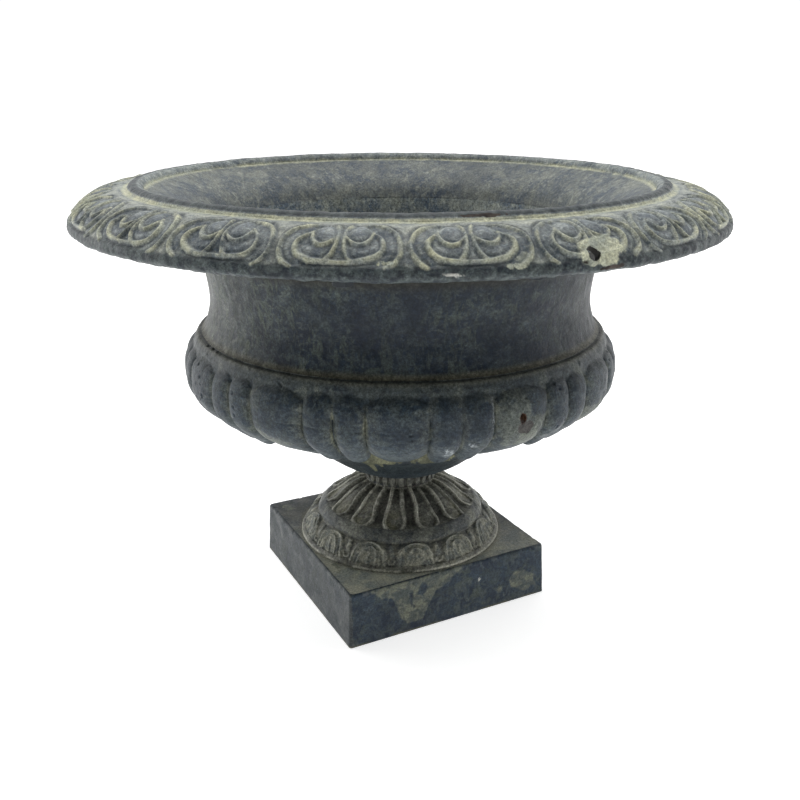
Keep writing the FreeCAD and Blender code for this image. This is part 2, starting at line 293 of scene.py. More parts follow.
def rough_hole(centre, axis, rx, ry, depth, seed, roll=0.0, count=28):
    """Ragged elliptical plug along axis, to cut a corroded hole."""
    axis = Vector(axis).normalized()
    x = axis.orthogonal().normalized()
    up = Vector((0, 0, 1))
    x = up.cross(axis).normalized() if abs(axis.z) < 0.99 else x
    y = axis.cross(x).normalized()
    rng = np.random.RandomState(seed)
    ang = np.linspace(0, 2 * math.pi, count, endpoint=False)
    wob = 1 + 0.035 * np.sin(3 * ang + rng.rand() * 6) + 0.015 * np.sin(5 * ang + rng.rand() * 6) \
        + 0.01 * (rng.rand(count) - 0.5)
    verts, faces = [], []
    for k, t in enumerate((-1.0, 1.0)):
        for a, w in zip(ang, wob):
            ca, sa = math.cos(a + roll), math.sin(a + roll)
            scale = 1.15 if t > 0 else 0.9
            p = Vector(centre) + axis * (depth * t) + (x * (rx * math.cos(a) * math.cos(roll) - ry * math.sin(a) * math.sin(roll))
                                                       + y * (rx * math.cos(a) * math.sin(roll) + ry * math.sin(a) * math.cos(roll))) * (w * scale)
            verts.append(p)
    for i in range(count):
        j = (i + 1) % count
        faces.append([i, j, count + j, count + i])
    faces.append(list(range(count))[::-1])
    faces.append(list(range(count, 2 * count)))
    return verts, faces


# --------------------------------------------------------- ornament of the rim
CELL = 74.5            # one motif along the band, mm
CELL_HALF = CELL / 2
Y0, Y1 = 6.0, 68.0     # distance along the section from the bead's inner top, mm
RIM_DEPTH = 2.6


def motif():
    """One scroll motif: height above the sunk ground in mm, its ridges, the painted shade beside them and under the
    eyes, its pillows and plain parts.
    """
    step = 0.25
    xs = np.arange(-CELL_HALF, CELL_HALF + step / 2, step)
    ys = np.arange(Y0, Y1 + step / 2, step)
    X, Y = np.meshgrid(xs, ys, indexing="ij")
    A = np.abs(X)
    h = np.zeros_like(X)
    ridge = np.zeros_like(X)
    painted_shade_band = np.zeros_like(X)

    def stroke(pts, widths, heights, crest=(1.0, 1.0), soft=0.45):
        nonlocal h, ridge, painted_shade_band
        p = spline([(a, b) for a, b in pts], 0.4)
        t = np.linspace(0, 1, len(p))
        w = np.interp(t, np.linspace(0, 1, len(widths)), widths)
        hh = np.interp(t, np.linspace(0, 1, len(heights)), heights)
        cc = np.interp(t, np.linspace(0, 1, len(crest)), crest)
        for (px, py), wi, hi, ci in zip(p, w, hh, cc):
            m = 2.4 * wi
            lo = (A > px - m) & (A < px + m) & (Y > py - m) & (Y < py + m)
            if not lo.any():
                continue
            d = np.hypot(A[lo] - px, Y[lo] - py) / wi
            h[lo] = np.maximum(h[lo], hi * (1 - sstep(soft * 0.2, 1.15, d)))
            ridge[lo] = np.maximum(ridge[lo], ci * (1 - sstep(0.0, 1.30, d)))
            painted_shade_band[lo] = np.maximum(painted_shade_band[lo], ci * (1 - sstep(0.9, 2.4, d)))

    # fillet above the motifs and roll below them
    h = np.maximum(h, 1.7 * (1 - sstep(18.5, 23.0, Y)))
    h = np.maximum(h, 2.1 * sstep(56.5, 61.0, Y))
    # raised dart between neighbouring frames
    dart_half = np.interp(Y, [19, 22, 27, 33, 38, 47, 53, 58, 61], [14.0, 11.0, 6.5, 3.2, 1.9, 1.6, 2.8, 6.0, 10])
    dart = 1 - sstep(dart_half - 1.4, dart_half + 0.4, CELL_HALF - A)
    dart_h = np.interp(Y, [19, 30, 40, 52, 60], [1.7, 1.5, 1.0, 1.0, 1.4])
    h = np.maximum(h, dart * dart_h)
    # narrow sunk line down the middle of the dart
    groove = (1 - sstep(0.3, 1.1, CELL_HALF - A)) * sstep(27, 31, Y) * (1 - sstep(47, 50, Y))
    h = h - 0.8 * groove * dart

    # pillows: the two eyes, the lower compartments, the outer channel
    eye = 1 - ((A - 9.6) / 6.6) ** 2 - ((Y - 31.6) / np.where(Y < 31.6, 10.6, 9.2)) ** 2
    eye = np.sqrt(np.clip(eye, 0, 1))
    h = np.maximum(h, 1.75 * eye)
    low = 1 - ((A - 13.2) / 8.6) ** 2 - ((Y - 48.9 + 0.024 * (A - 13) ** 2) / 4.4) ** 2
    low = np.sqrt(np.clip(low, 0, 1))
    h = np.maximum(h, 1.05 * low)
    # channel between frame and lyre swells a little along its middle
    chan = spline([(19.5, 26.4), (24.6, 30.0), (28.4, 35.0), (30.2, 41.0), (30.0, 47.0), (27.6, 52.4),
                   (23.0, 56.0)], 0.5)
    dist = np.full_like(A, 99.0)
    for px, py in chan:
        dist = np.minimum(dist, np.hypot(A - px, Y - py))
    h = np.maximum(h, 0.9 * np.clip(1 - (dist / 3.1) ** 2, 0, 1))

    # frame: arc that rises softly out of the fillet, goes round the side and ends bluntly
    stroke([(7.0, 20.4), (14.0, 21.0), (20.5, 23.0), (26.0, 26.6), (30.2, 31.2), (33.0, 36.8),
            (34.3, 42.5), (34.3, 48.0), (33.0, 52.8), (30.4, 56.6), (26.4, 59.3)],
           [1.1, 1.7, 2.4, 2.9, 2.9, 2.5, 2.1, 2.0, 2.2, 2.5, 2.0],
           [1.2, 1.5, 2.0, 2.4, 2.6, 2.6, 2.6, 2.6, 2.6, 2.6, 2.4],
           [0.0, 0.25, 0.6, 0.9, 1.0, 1.0, 1.0, 1.0, 1.0, 1.0, 0.9])
    # lyre
    stroke([(17.9, 31.2), (20.2, 34.8), (23.6, 38.8), (25.2, 43.4), (24.6, 48.0), (21.6, 52.0),
            (16.5, 54.5), (9.0, 55.7), (0.0, 55.9)],
           [1.1, 1.7, 2.1, 2.5, 2.7, 2.6, 2.4, 2.1, 1.9],
           [1.3, 2.0, 2.3, 2.5, 2.5, 2.5, 2.5, 2.5, 2.5],
           [0.5, 0.85, 1.0, 1.0, 1.0, 1.0, 1.0, 1.0, 0.95])
    # crescents under the eyes
    stroke([(17.9, 31.2), (17.4, 37.6), (15.5, 41.8), (12.0, 44.3), (8.0, 43.3), (4.7, 40.2),
            (2.3, 36.6)],
           [1.0, 1.5, 2.1, 2.8, 2.4, 1.6, 1.1],
           [1.3, 1.9, 2.2, 2.4, 2.3, 2.1, 2.1],
           [0.7, 0.9, 1.0, 1.0, 1.0, 0.9, 0.8])
    # two lines of the stalk
    stroke([(4.4, 21.6), (2.5, 27.6), (1.75, 33.3), (1.95, 40.5), (2.9, 46.7), (4.6, 51.2),
            (7.2, 54.8)],
           [2.2, 2.0, 1.7, 1.5, 1.7, 1.9, 2.0],
           [1.8, 2.1, 2.2, 2.3, 2.3, 2.3, 2.3],
           [0.7, 0.9, 0.9, 0.9, 0.9, 1.0, 1.0])
    plain = np.maximum(1 - sstep(18.0, 22.5, Y), dart)
    # painted shade: darker beside the ridges and over the lower part of each eye
    shade = np.maximum(np.clip(painted_shade_band - ridge, 0, 1), 0.85 * eye * sstep(30.5, 36.5, Y) * (1 - ridge))
    return h, ridge, shade, np.maximum(eye, low), plain, step


def sample_cell(img, step, x, y):
    """Bilinear reading of the motif's relief."""
    fx = np.clip((x + CELL_HALF) / step, 0, img.shape[0] - 1.001)
    fy = np.clip((y - Y0) / step, 0, img.shape[1] - 1.001)
    i, j = fx.astype(int), fy.astype(int)
    a, b = fx - i, fy - j
    return (img[i, j] * (1 - a) * (1 - b) + img[i + 1, j] * a * (1 - b)
            + img[i, j + 1] * (1 - a) * b + img[i + 1, j + 1] * a * b)


def spot(g, phi_deg, s_mm, half_phi_mm, half_s_mm, radius, seed, rag=0.45, scale=3.0, s_from=0.0):
    """Ragged patch, 0 to 1, round a place on a casting."""
    dx = wrap(g.PHI - phi_deg * D2R) * radius / half_phi_mm
    dy = (g.S - s_from - s_mm) / half_s_mm
    q = np.hypot(dx, dy)
    near = q < 2.5
    out = np.zeros_like(q)
    if near.any():
        n = fbm(g.R[near] * np.cos(g.TH[near]) / scale + 7.7, g.R[near] * np.sin(g.TH[near]) / scale + 3.1,
                g.Z[near] / scale + 9.9, seed, 4)
        out[near] = 1 - sstep(0.55, 1.05, q[near] + (n - 0.5) * 2 * rag)
    return out


def build_rim():
    sec, tag = chain([
        ([(178.0, 313.0), (153.0, 313.0)], 6.0),
        ([(153.0, 313.0), (156.8, 320.0), (162.4, 326.6), (170.0, 332.4), (179.0, 337.6),
          (187.0, 341.4), (194.2, 344.6)], 1.7),
        ([(194.2, 344.6), (195.4, 347.2), (197.8, 349.5), (200.6, 350.2), (203.6, 349.6),
          (205.8, 347.8), (207.6, 346.3)], 0.8),
        ([(207.6, 346.3), (215.0, 346.6), (224.0, 345.5), (232.0, 343.0), (239.0, 339.3),
          (245.0, 333.8), (248.5, 329.4), (250.0, 325.0), (249.0, 321.2), (246.2, 319.2)], 0.75),
        ([(246.2, 319.2), (242.6, 319.4)], 1.2),
        ([(242.6, 319.4), (243.8, 324.2), (241.6, 330.0), (235.8, 335.0), (229.0, 338.4),
          (221.0, 340.2), (208.0, 340.0), (198.0, 338.0), (188.6, 333.8), (182.0, 328.6),
          (178.0, 321.6)], 3.0),
        ([(178.0, 321.6), (178.0, 313.0)], 4.0),
    ])
    g = Turned(sec, 1800)
    # distance along the section, counted from the bead's inner top edge
    j0 = int(np.argmin(np.hypot(sec[:, 0] - 198.0, sec[:, 1] - 349.6)))
    s_from = g.s[j0]
    Y = g.S - s_from
    T = tag[None, :]
    throat, bead_run, band = (T == 1) * 1.0, (T == 2) * 1.0, (T == 3) * 1.0
    top = ((T >= 1) & (T <= 4)) * 1.0
    under = (T >= 5) * 1.0

    h, ridge, painted_shade_band, swell, plain, step = motif()
    # motifs are set out by hand, a little closer together on the facing side
    ph = g.PHI + 1.7 * D2R * np.sin(g.PHI)
    a = (ph - 9.75 * D2R) / (18.0 * D2R)
    k = np.round(a)
    frac = a - k
    rng = np.random.RandomState(5)
    jit = rng.rand(40, 4) - 0.5
    ki = (k.astype(int)) % 20
    x = frac * CELL
    # each motif sits and swells a little differently
    x = x + jit[ki, 0] * 1.2 * (1 - (2 * np.abs(frac)) ** 4)
    y = Y + jit[ki, 1] * 1.2 * sstep(20, 26, Y) * (1 - sstep(56, 61, Y))
    wx = np.clip(x + (g.n3(17.0, 3, 3) - 0.5) * 2.2, -CELL_HALF, CELL_HALF)
    wy = y + (g.n3(17.0, 4, 3) - 0.5) * 2.2 * sstep(13, 20, Y)
    relief, rid, hal, swl, pln = (sample_cell(m, step, wx, wy) for m in (h, ridge, painted_shade_band, swell, plain))
    # thick paint that filled the relief round the hole
    smear = np.maximum(spot(g, 28.2, 52.0, 19.0, 11.0, 246, 72, 0.30, 6.0, s_from),
                       spot(g, 26.0, 57.0, 9.0, 7.5, 246, 74, 0.25, 4.0, s_from))
    smear = np.maximum(smear, 0.9 * spot(g, 28.4, 60.0, 9.0, 5.5, 246, 75, 0.55, 4.0, s_from))
    daub = np.maximum(0.5 * spot(g, 16.0, 54.5, 6.0, 6.0, 246, 76, 0.60, 3.5, s_from),
                      0.75 * spot(g, 14.8, 59.6, 6.0, 2.6, 246, 77, 0.75, 3.0, s_from))
    smear = np.maximum(smear, daub)
    relief = relief + 0.75 * (smear - 0.6 * daub).clip(0, 1) * np.clip(2.0 - relief, 0, 2)
    worn = 0.84 + 0.30 * g.n3(22.0, 8, 3)
    end = 1 - sstep(61.5, 65.5, Y)
    disp = band * (relief * worn - RIM_DEPTH) * sstep(10.0, 14.0, Y) * end
    # valley beside the bead
    disp = disp - top * 0.2 * np.exp(-((Y - 11.4) / 1.6) ** 2)
    # casting unevenness
    disp = disp + (g.n3(30.0, 21, 3) - 0.5) * 0.8 * top + (g.n3(4.0, 22, 3) - 0.5) * 0.34
    disp = disp + bead_run * (g.n3(9.0, 23, 2) - 0.5) * 0.7
    # rough lower roll
    disp = disp + (g.n3(5.5, 25, 3) - 0.5) * 1.3 * sstep(57.0, 61.0, Y) * top
    # flash line under the lip
    disp = disp + 0.5 * np.exp(-((Y - 66.2) / 0.9) ** 2) * sstep(0.42, 0.62, g.n3(14.0, 24, 3)) * top
    # wandering cold-shut ripples in the throat
    ph_r = wrap(g.PHI - 146 * D2R)
    phase = ph_r * 150 / 5.2 + g.S * 0.16 + 5.5 * g.n3(19.0, 30, 2)
    rip = sstep(0.1, 0.95, np.sin(phase)) * np.exp(-(ph_r / 0.30) ** 2) * sstep(0.40, 0.60, g.n3(22.0, 31, 3))
    disp = disp + throat * rip * 0.55
    # pit beside the hole
    pit = spot(g, 24.75, 60.7, 3.2, 2.3, 248, 71, 0.2, 2.0, s_from)
    disp = disp - 1.6 * pit
    g.d = np.clip(disp, -4.2, 0.6)

    # masks for the paint
    rub = g.n3(8.0, 41, 4)
    lines = rid * band * end * (0.42 + 0.58 * sstep(0.34, 0.62, rub)) * (0.70 + 0.30 * sstep(0.36, 0.56, g.n3(30.0, 43, 2)))
    gutter = 0.86 * top * sstep(8.4, 9.8, Y) * (1 - sstep(12.2, 16.0, Y)) * (0.72 + 0.28 * sstep(0.30, 0.50, g.n3(13.0, 44, 3)))
    inner_foot = top * np.exp(-((Y + 6.8) / 2.2) ** 2) * (0.45 + 0.55 * sstep(0.30, 0.52, g.n3(9.0, 46, 3)))
    g.attrs["pale"] = np.maximum(lines, np.maximum(0.95 * gutter, 0.75 * inner_foot))
    g.attrs["smear"] = np.maximum(smear,
                                  0.75 * spot(g, -1.7, 56.0, 5.2, 1.7, 246, 73, 0.9, 2.0, s_from))
    # painted shade beside the ridges and under the eyes
    g.attrs["painted_shade_band"] = hal * band * end
    g.attrs["swell"] = swl * band * end * sstep(20, 24, Y)
    g.attrs["plain"] = pln * band * end * sstep(14, 18, Y)
    g.attrs["roll"] = top * sstep(56.8, 59.4, Y + 3.4 * (g.n3(9.0, 47, 3) - 0.5)) * (1 - rid) + under
    g.attrs["bead"] = top * sstep(0.6, 2.2, Y) * (1 - sstep(7.6, 9.0, Y))
    # painted highlight along the bead's inner top edge
    g.attrs["crest"] = top * np.exp(-((Y - 0.4) / 1.3) ** 2) * sstep(0.36, 0.56, g.n3(8.0, 48, 3))
    rust = spot(g, 13.7, 7.6, 15.0, 1.5, 206, 81, 0.6, 3.0, s_from)
    rust = np.maximum(rust, 0.9 * spot(g, 29.2, 65.4, 11.0, 2.0, 249, 82, 0.5, 4.0, s_from))
    rust = np.maximum(rust, 0.36 * pit)
    g.attrs["rust"] = np.maximum(rust, under * (g.R < 236) * 0.6 * sstep(0.50, 0.74, g.n3(22, 83, 4)))
    white = spot(g, -14.0, 21.0, 0.8, 1.9, 215, 91, 0.4, 1.6, s_from)
    g.attrs["white"] = np.maximum(white, 0.9 * spot(g, 6.2, 63.6, 5.8, 1.15, 249, 92, 1.0, 2.2, s_from))
    g.attrs["inside"] = throat * sstep(-1.0, -4.5, Y)
    me = g.build("rim_casting", 3)
    ob = add_object("rim_casting", me)
    # corroded hole through the band
    jh = int(np.argmin(np.abs(g.s - s_from - 55.3)))
    th = FACING + 26.25 * D2R
    r, z = sec[jh]
    n = g.nrm[jh]
    c = (r * math.cos(th) / 1000, r * math.sin(th) / 1000, z / 1000)
    ax = (n[0] * math.cos(th), n[0] * math.sin(th), n[1])
    combine(ob, [rough_hole(c, ax, 0.0038, 0.0046, 0.012, 3, 0.5)], "DIFFERENCE")
    return ob


# -------------------------------------------------------------------- the neck
def build_neck():
    sec, tag = chain([
        ([(148.4, 241.0), (148.4, 234.0)], 3.5),
        ([(148.4, 234.0), (160.4, 234.0)], 4.0),
        ([(160.4, 234.0), (159.1, 235.1), (157.8, 236.9), (156.6, 239.4), (155.3, 243.4), (153.1, 252.0), (152.2, 262.0), (153.1, 272.0),
          (154.6, 282.0), (156.2, 292.0), (158.4, 300.0), (161.6, 306.0)], 1.0),
        ([(161.6, 306.0), (178.0, 306.0)], 4.0),
        ([(178.0, 306.0), (178.0, 313.0)], 3.5),
        ([(178.0, 313.0), (153.0, 313.0)], 6.0),
        ([(153.0, 313.0), (150.6, 303.0), (148.4, 288.0), (146.2, 264.0), (146.8, 252.0), (148.4, 241.0)], 2.4),
    ])
    sec, tag = sec[::-1], tag[::-1]
    g = Turned(sec, 1080)
    T = tag[None, :]
    out, inn = (T == 2) * 1.0, (T == 6) * 1.0
    free = out * sstep(234.0, 237.5, g.Z) * (1 - sstep(303.0, 306.0, g.Z))
    g.d = ((g.n3(45.0, 101, 3) - 0.5) * 1.2 + (g.n3(9.0, 102, 3) - 0.5) * 0.55) * free
    g.d += ((g.n3(26.0, 103, 3) - 0.5) * 1.0 + (g.n3(6.0, 104, 2) - 0.5) * 0.4) * inn * sstep(313, 306, g.Z)
    # flat scars where lumps were chiselled off the casting
    for p, z, w, hgt in [(-38, 262, 9, 12), (22, 272, 12, 9), (9, 255, 7, 6), (48, 250, 8, 12),
                         (-12, 285, 10, 7), (120, 262, 10, 10), (-150, 270, 12, 9)]:
        q = ((wrap(g.PHI - p * D2R) * 152) / w) ** 2 + ((g.Z - z) / hgt) ** 2
        g.d -= 0.4 * np.exp(-q) * free
    g.attrs["foot"] = (1 - sstep(235.0, 239.0 + 2.4 * (g.n3(16, 110, 3) - 0.5), g.Z)) * out
    # olive paint on the sides, stronger and lighter on the left as painted light from the left
    side = np.maximum(sstep(-22 * D2R, -70 * D2R, g.PHI), 0.16 * sstep(34 * D2R, 80 * D2R, g.PHI))
    g.attrs["olive"] = np.clip(side * (0.55 + 0.9 * (g.n3(38, 111, 3) - 0.3)), 0, 1) * out
    g.attrs["core"] = np.exp(-((wrap(g.PHI - 14 * D2R)) / 0.75) ** 2) * out
    g.attrs["rust"] = ((T == 3) | (T == 4) | (T == 0)) * 0.6 * sstep(0.45, 0.72, g.n3(20, 112, 4)) \
        + 0.25 * inn * sstep(0.60, 0.82, g.n3(16, 113, 4))
    g.attrs["inside"] = np.clip(inn + (T == 0), 0, 1)
    # painted light: the upper part of the inside made lighter
    g.attrs["upper"] = inn * sstep(276, 304, g.Z)
    # painted shade on the neck's right side
    g.attrs["right_side_shade"] = out * sstep(36 * D2R, 66 * D2R, g.PHI) * (1 - sstep(110 * D2R, 140 * D2R, g.PHI))
    # painted shade on the neck's top under the rim lip and on its flange faces
    g.attrs["sooty"] = np.clip(out * sstep(290, 299, g.Z) + (T == 3) + (T == 4), 0, 1)
    me = g.build("neck_casting", 3)
    ob = add_object("neck_casting", me)
    combine(ob, [lug_body(60.0 * k * D2R, 0.1514, 0.2340, 0.2410) for k in range(6)], "UNION")
    ob.data.set_sharp_from_angle(angle=50 * D2R)
    return ob


# -------------------------------------------------------------------- the bowl
LOBE_PITCH = 30.0
WIDE_HALF = 7.45
NARROW = 7.55


def build_bowl():
    sec, tag = chain([
        ([(16.0, 91.0), (16.0, 95.0)], 2.0),
        ([(16.0, 95.0), (30.0, 95.0)], 3.5),
        ([(30.0, 95.0), (30.2, 100.0), (31.0, 104.2), (33.4, 106.8), (38.0, 108.4), (45.0, 110.4)], 0.8),
        ([(45.0, 110.4), (61.0, 120.0), (73.0, 129.6), (86.0, 139.4), (98.0, 146.4)], 1.6),
        ([(98.0, 146.4), (104.0, 149.6), (122.0, 158.6), (144.0, 169.4), (163.5, 180.2), (172.9, 190.0),
          (176.0, 199.0), (176.2, 205.0), (174.9, 215.4), (172.0, 221.1), (169.0, 225.0)], 0.85),
        ([(169.0, 225.0), (166.2, 229.2), (163.6, 232.6), (160.5, 234.0)], 0.8),
        ([(160.5, 234.0), (150.0, 234.0)], 4.0),
        ([(150.0, 234.0), (150.0, 230.0)], 2.0),
        ([(150.0, 230.0), (160.5, 222.5), (167.0, 215.0), (170.2, 205.0), (169.6, 197.5), (163.5, 187.5),
          (141.0, 174.6), (101.0, 155.0), (69.4, 135.0), (43.0, 117.6), (30.0, 114.0)], 3.0),
        ([(30.0, 114.0), (6.7, 114.0)], 3.5),
        ([(6.7, 114.0), (6.7, 91.0)], 4.5),
        ([(6.7, 91.0), (16.0, 91.0)], 3.0),
    ])
    # the section runs up the outside and back down the inside
    sec, tag = sec[::-1], tag[::-1]
    g = Turned(sec, 1440)
    T = tag[None, :]
    outer = (tag >= 2) & (tag <= 5)
    O = outer[None, :] * 1.0
    j_top = int(np.argmin(np.hypot(sec[:, 0] - 163.6, sec[:, 1] - 232.6)))
    s_top = g.s[j_top]
    S = np.abs(g.S - s_top)          # distance down from the lip
    s_of = lambda r, z: abs(g.s[int(np.argmin(np.hypot(sec[:, 0] - r, sec[:, 1] - z) + 1e3 * ~outer))] - s_top)
    s_lobe = s_of(168.0, 226.4)
    s_belly = s_of(176.2, 205.0)
    s_wide = s_of(118.0, 156.7)
    s_narrow = s_of(141.0, 168.0)
    s_cup = s_of(101.0, 148.0)

    ph = (g.PHI + 0.9 * D2R * np.sin(g.PHI)) / D2R + 0.4
    a = ph / LOBE_PITCH
    c = np.round(a)
    x = (a - c) * LOBE_PITCH         # degrees from the middle of the wide lobe
    rng = np.random.RandomState(9)
    jit = rng.rand(12, 6) - 0.5
    ci = c.astype(int) % 12
    ax = np.abs(x) + (g.n3(20.0, 199, 2) - 0.5) * 0.7
    wide = ax < WIDE_HALF
    # every lobe: local coordinate 0 to 1 from its middle, and its own ends
    t = np.abs(np.where(wide, ax / WIDE_HALF, (ax - WIDE_HALF - NARROW / 2) / (NARROW / 2)))
    s_end = np.where(wide, s_wide + jit[ci, 0] * 2.5, s_narrow + jit[ci, 1 + (x > 0)] * 2.5)
    s_beg = s_lobe + jit[ci, 3] * 1.2
    long_b = np.where(wide, 14.0, 9.0)
    long_t = np.where(wide, 11.0, 8.5)
    e_b = np.clip((S - (s_end - long_b)) / long_b, 0, 3)
    e_t = np.clip((s_beg + long_t - S) / long_t, 0, 3)
    rho_b, rho_t = np.hypot(t, e_b), np.hypot(t, e_t)
    f_side = np.clip(1 - rho_b ** 2.5, 0, 1) ** (1 / 2.1)
    f_top = np.clip(1 - rho_t ** 2, 0, 1) ** 0.62
    w_top = sstep(0, 1, 1 - e_t)
    full = f_top * (1 - w_top) + f_side * w_top
    # the lobes swell a little lower down than half way
    ground = np.interp(S, [0, s_lobe - 2, s_lobe + 5, s_lobe + 20, s_belly + 6, s_narrow - 12, s_narrow, s_wide,
                           s_wide + 14, s_cup],
                       [0, -0.6, -3.0, -5.7, -6.6, -7.0, -7.6, -7.4, -4.4, 0])
    low = np.where(wide, 0.0, np.interp(S, [s_lobe, s_belly, s_narrow - 22, s_narrow - 9, s_narrow], [0.6, 0.7, 0.2, -2.2, -3.0]))
    disp = (ground + full * (-ground - low)) * O
    # the ends of the flutes of the socle run on into the stem
    stem = (T == 2) * sstep(108.6, 106.2, g.Z)
    disp = disp + stem * (flute_wave(g.PHI) - 1.0) * 2.4
    disp = disp - 0.6 * (T == 2) * np.exp(-((g.Z - 95.0) / 0.7) ** 2)
    # casting unevenness
    disp = disp + (g.n3(34.0, 201, 3) - 0.5) * 0.9 * O + (g.n3(6.0, 202, 3) - 0.5) * 0.45 * O
    # mould line round the belly
    seam = np.exp(-((S - s_belly - 3.0 + (g.n3(40, 204, 2) - 0.5) * 3) / 0.6) ** 2) * sstep(0.50, 0.64, g.n3(24, 205, 3))
    disp = disp - 0.5 * seam * O
    # a few casting pits
    pits = sstep(0.74, 0.80, g.n3(3.6, 206, 2)) * sstep(0.56, 0.68, g.n3(26, 207, 2)) * O
    disp = disp - 0.8 * pits
    dent = spot_s(g, S, 29.3, s_belly + 6.4, 8.0, 6.4, 176, 221, 0.22, 3.5)
    disp = disp - 0.7 * dent * O
    # the inside follows the lobes
    disp = disp + (T == 8) * 3.8 * sstep(152, 162, g.Z) * (1 - sstep(184, 193, g.Z))
    g.d = np.clip(disp, -9.0, 4.5)

    inl = sstep(s_lobe + 1, s_lobe + 9, S) * (rho_b < 1.0) * O
    crease = inl * sstep(0.70, 1.0, t)
    deg = g.PHI / D2R
    streak = np.maximum.reduce([
        np.exp(-((deg + 15.2) / 1.5) ** 2) * sstep(s_belly - 22, s_belly - 12, S),
        np.exp(-((deg + 7.7) / 1.4) ** 2) * sstep(s_belly - 12, s_belly - 4, S) * (1 - 0.6 * sstep(s_belly + 6, s_belly + 12, S)),
        0.55 * np.exp(-((deg + 22.7) / 1.5) ** 2), 0.5 * np.exp(-((deg - 22.2) / 1.5) ** 2)])
    g.attrs["streak"] = inl * sstep(0.70, 1.0, t) * streak * (0.45 + 0.55 * sstep(0.38, 0.56, g.n3(7, 212, 3)))
    g.attrs["valley"] = crease * sstep(0.30, 0.55, g.n3(11, 211, 3) + 0.06)
    g.attrs["flank"] = inl * sstep(0.45, 0.95, t)
    g.attrs["core"] = inl * (1 - sstep(0.25, 0.85, np.hypot(t, (S - s_belly) / 24.0)))
    g.attrs["lower"] = inl * sstep(s_belly + 10, s_belly + 26, S)
    shoulder = O * (1 - sstep(s_lobe - 1, s_lobe + 8, S))
    g.attrs["shoulder"] = shoulder
    # painted light: the lip made lighter where the rim and neck shade it
    g.attrs["edge"] = O * np.exp(-(S / 2.6) ** 2) + (T == 6) * sstep(154, 156, g.R)
    # cup under the lobes: dark paint with painted shade, darkest just under the overhanging lobes; khaki runs just
    # below the facing lobe
    gap = np.where(rho_b >= 1.0, (rho_b - 1.0) * long_b, 0.0)
    under = O * ((rho_b >= 1.0) & (S > s_narrow - 4)) * 1.0
    g.attrs["cup"] = under * (1 - sstep(s_cup + 20, s_cup + 60, S)) + under * 0.35
    s_seen = s_of(104.0, 149.6)
    run = (26.0 * g.n3(5.0, 241, 3) - 10.5) * sstep(-18, -15.8, deg) * (1 - sstep(20, 26, deg))
    for at, half, length in [(-15.2, 1.7, 40.0), (-9.4, 1.2, 24.0), (-12.4, 1.2, 15.0), (-4.5, 2.2, 7.0),
                             (11.5, 3.0, 6.0), (18.5, 2.0, 8.0)]:
        run = np.maximum(run, length * np.clip(1.6 - np.abs(deg - at) / half, 0, 1))
    g.attrs["drip"] = np.where((under > 0) & (np.abs(deg) < 30), np.clip(0.5 + (run - (S - s_seen)) / 16.0, 0, 1), 0)
    olive = 0.9 * spot_s(g, S, 30.5, s_belly + 17, 13, 12, 174, 222, 0.5, 7.0)
    olive = np.maximum(olive, 0.62 * spot_s(g, S, 27.5, s_belly + 2, 24, 24, 174, 225, 0.7, 8.0))
    olive = np.maximum(olive, 0.7 * spot_s(g, S, -33, s_belly + 24, 20, 12, 170, 223, 0.6, 9.0))
    olive = np.maximum(olive, 0.7 * spot_s(g, S, 56, s_belly + 20, 20, 16, 170, 224, 0.6, 9.0))
    for k, (p, w) in enumerate([(-23, 2.6), (-14.6, 2.2), (-19, 1.8), (7.4, 2.6), (13.5, 2.0), (21, 3.0), (36, 2.5),
                                (-36, 2.5), (50, 2.5), (-51, 2.5)]):
        olive = np.maximum(olive, 0.36 * spot_s(g, S, p, s_lobe + 2.0, w * 2.2, 7.5, 170, 230 + k, 0.9, 4.0))
    g.attrs["olive"] = olive * O
    scuff = spot_s(g, S, 11.4, s_belly + 25, 4.6, 8.5, 172, 251, 0.75, 3.0)
    scuff = np.maximum(scuff, 0.8 * spot_s(g, S, 17.2, s_belly + 16, 3.6, 3.0, 172, 252, 0.9, 2.0))
    scuff = np.maximum(scuff, 0.55 * spot_s(g, S, 21.2, s_belly, 1.2, 18, 172, 253, 0.8, 2.0))
    g.attrs["white"] = scuff * O
    g.attrs["sore"] = dent * O
    rust = spot_s(g, S, 28.3, s_belly, 3.6, 4.6, 176, 254, 0.25, 2.0) * O
    g.attrs["rust"] = np.maximum(rust * 0.8, (1 - O) * 0.6 * sstep(0.45, 0.72, g.n3(22, 255, 4)))
    g.attrs["stem"] = (T == 2) * sstep(110.5, 106.5, g.Z)
    # painted shade on the lobes of the far left side
    g.attrs["far"] = inl * sstep(-46, -64, deg) * (1 - sstep(-100, -120, deg))
    me = g.build("bowl_casting", 3)
    ob = add_object("bowl_casting", me)
    combine(ob, [lug_body(60.0 * k * D2R, 0.1545, 0.2270, 0.2340) for k in range(6)], "UNION")
    cutters = []
    jh = int(np.argmin(np.hypot(sec[:, 0] - 176.2, sec[:, 1] - 205.4) + 1e3 * ~outer))
    th = FACING + 28.3 * D2R
    r, z = sec[jh]
    n = g.nrm[jh]
    cutters.append(rough_hole((r * math.cos(th) / 1000, r * math.sin(th) / 1000, z / 1000),
                              (n[0] * math.cos(th), n[0] * math.sin(th), n[1]), 0.0024, 0.0036, 0.014, 7, 0.1))
    for k in range(3):
        t_ = (92.0 + 120 * k) * D2R
        cutters.append(rough_hole((0.041 * math.cos(t_), 0.041 * math.sin(t_), 0.113), (0, 0, 1),
                                  0.005, 0.005, 0.014, 20 + k, 0.0))
    combine(ob, cutters, "DIFFERENCE")
    ob.data.set_sharp_from_angle(angle=60 * D2R)
    return ob


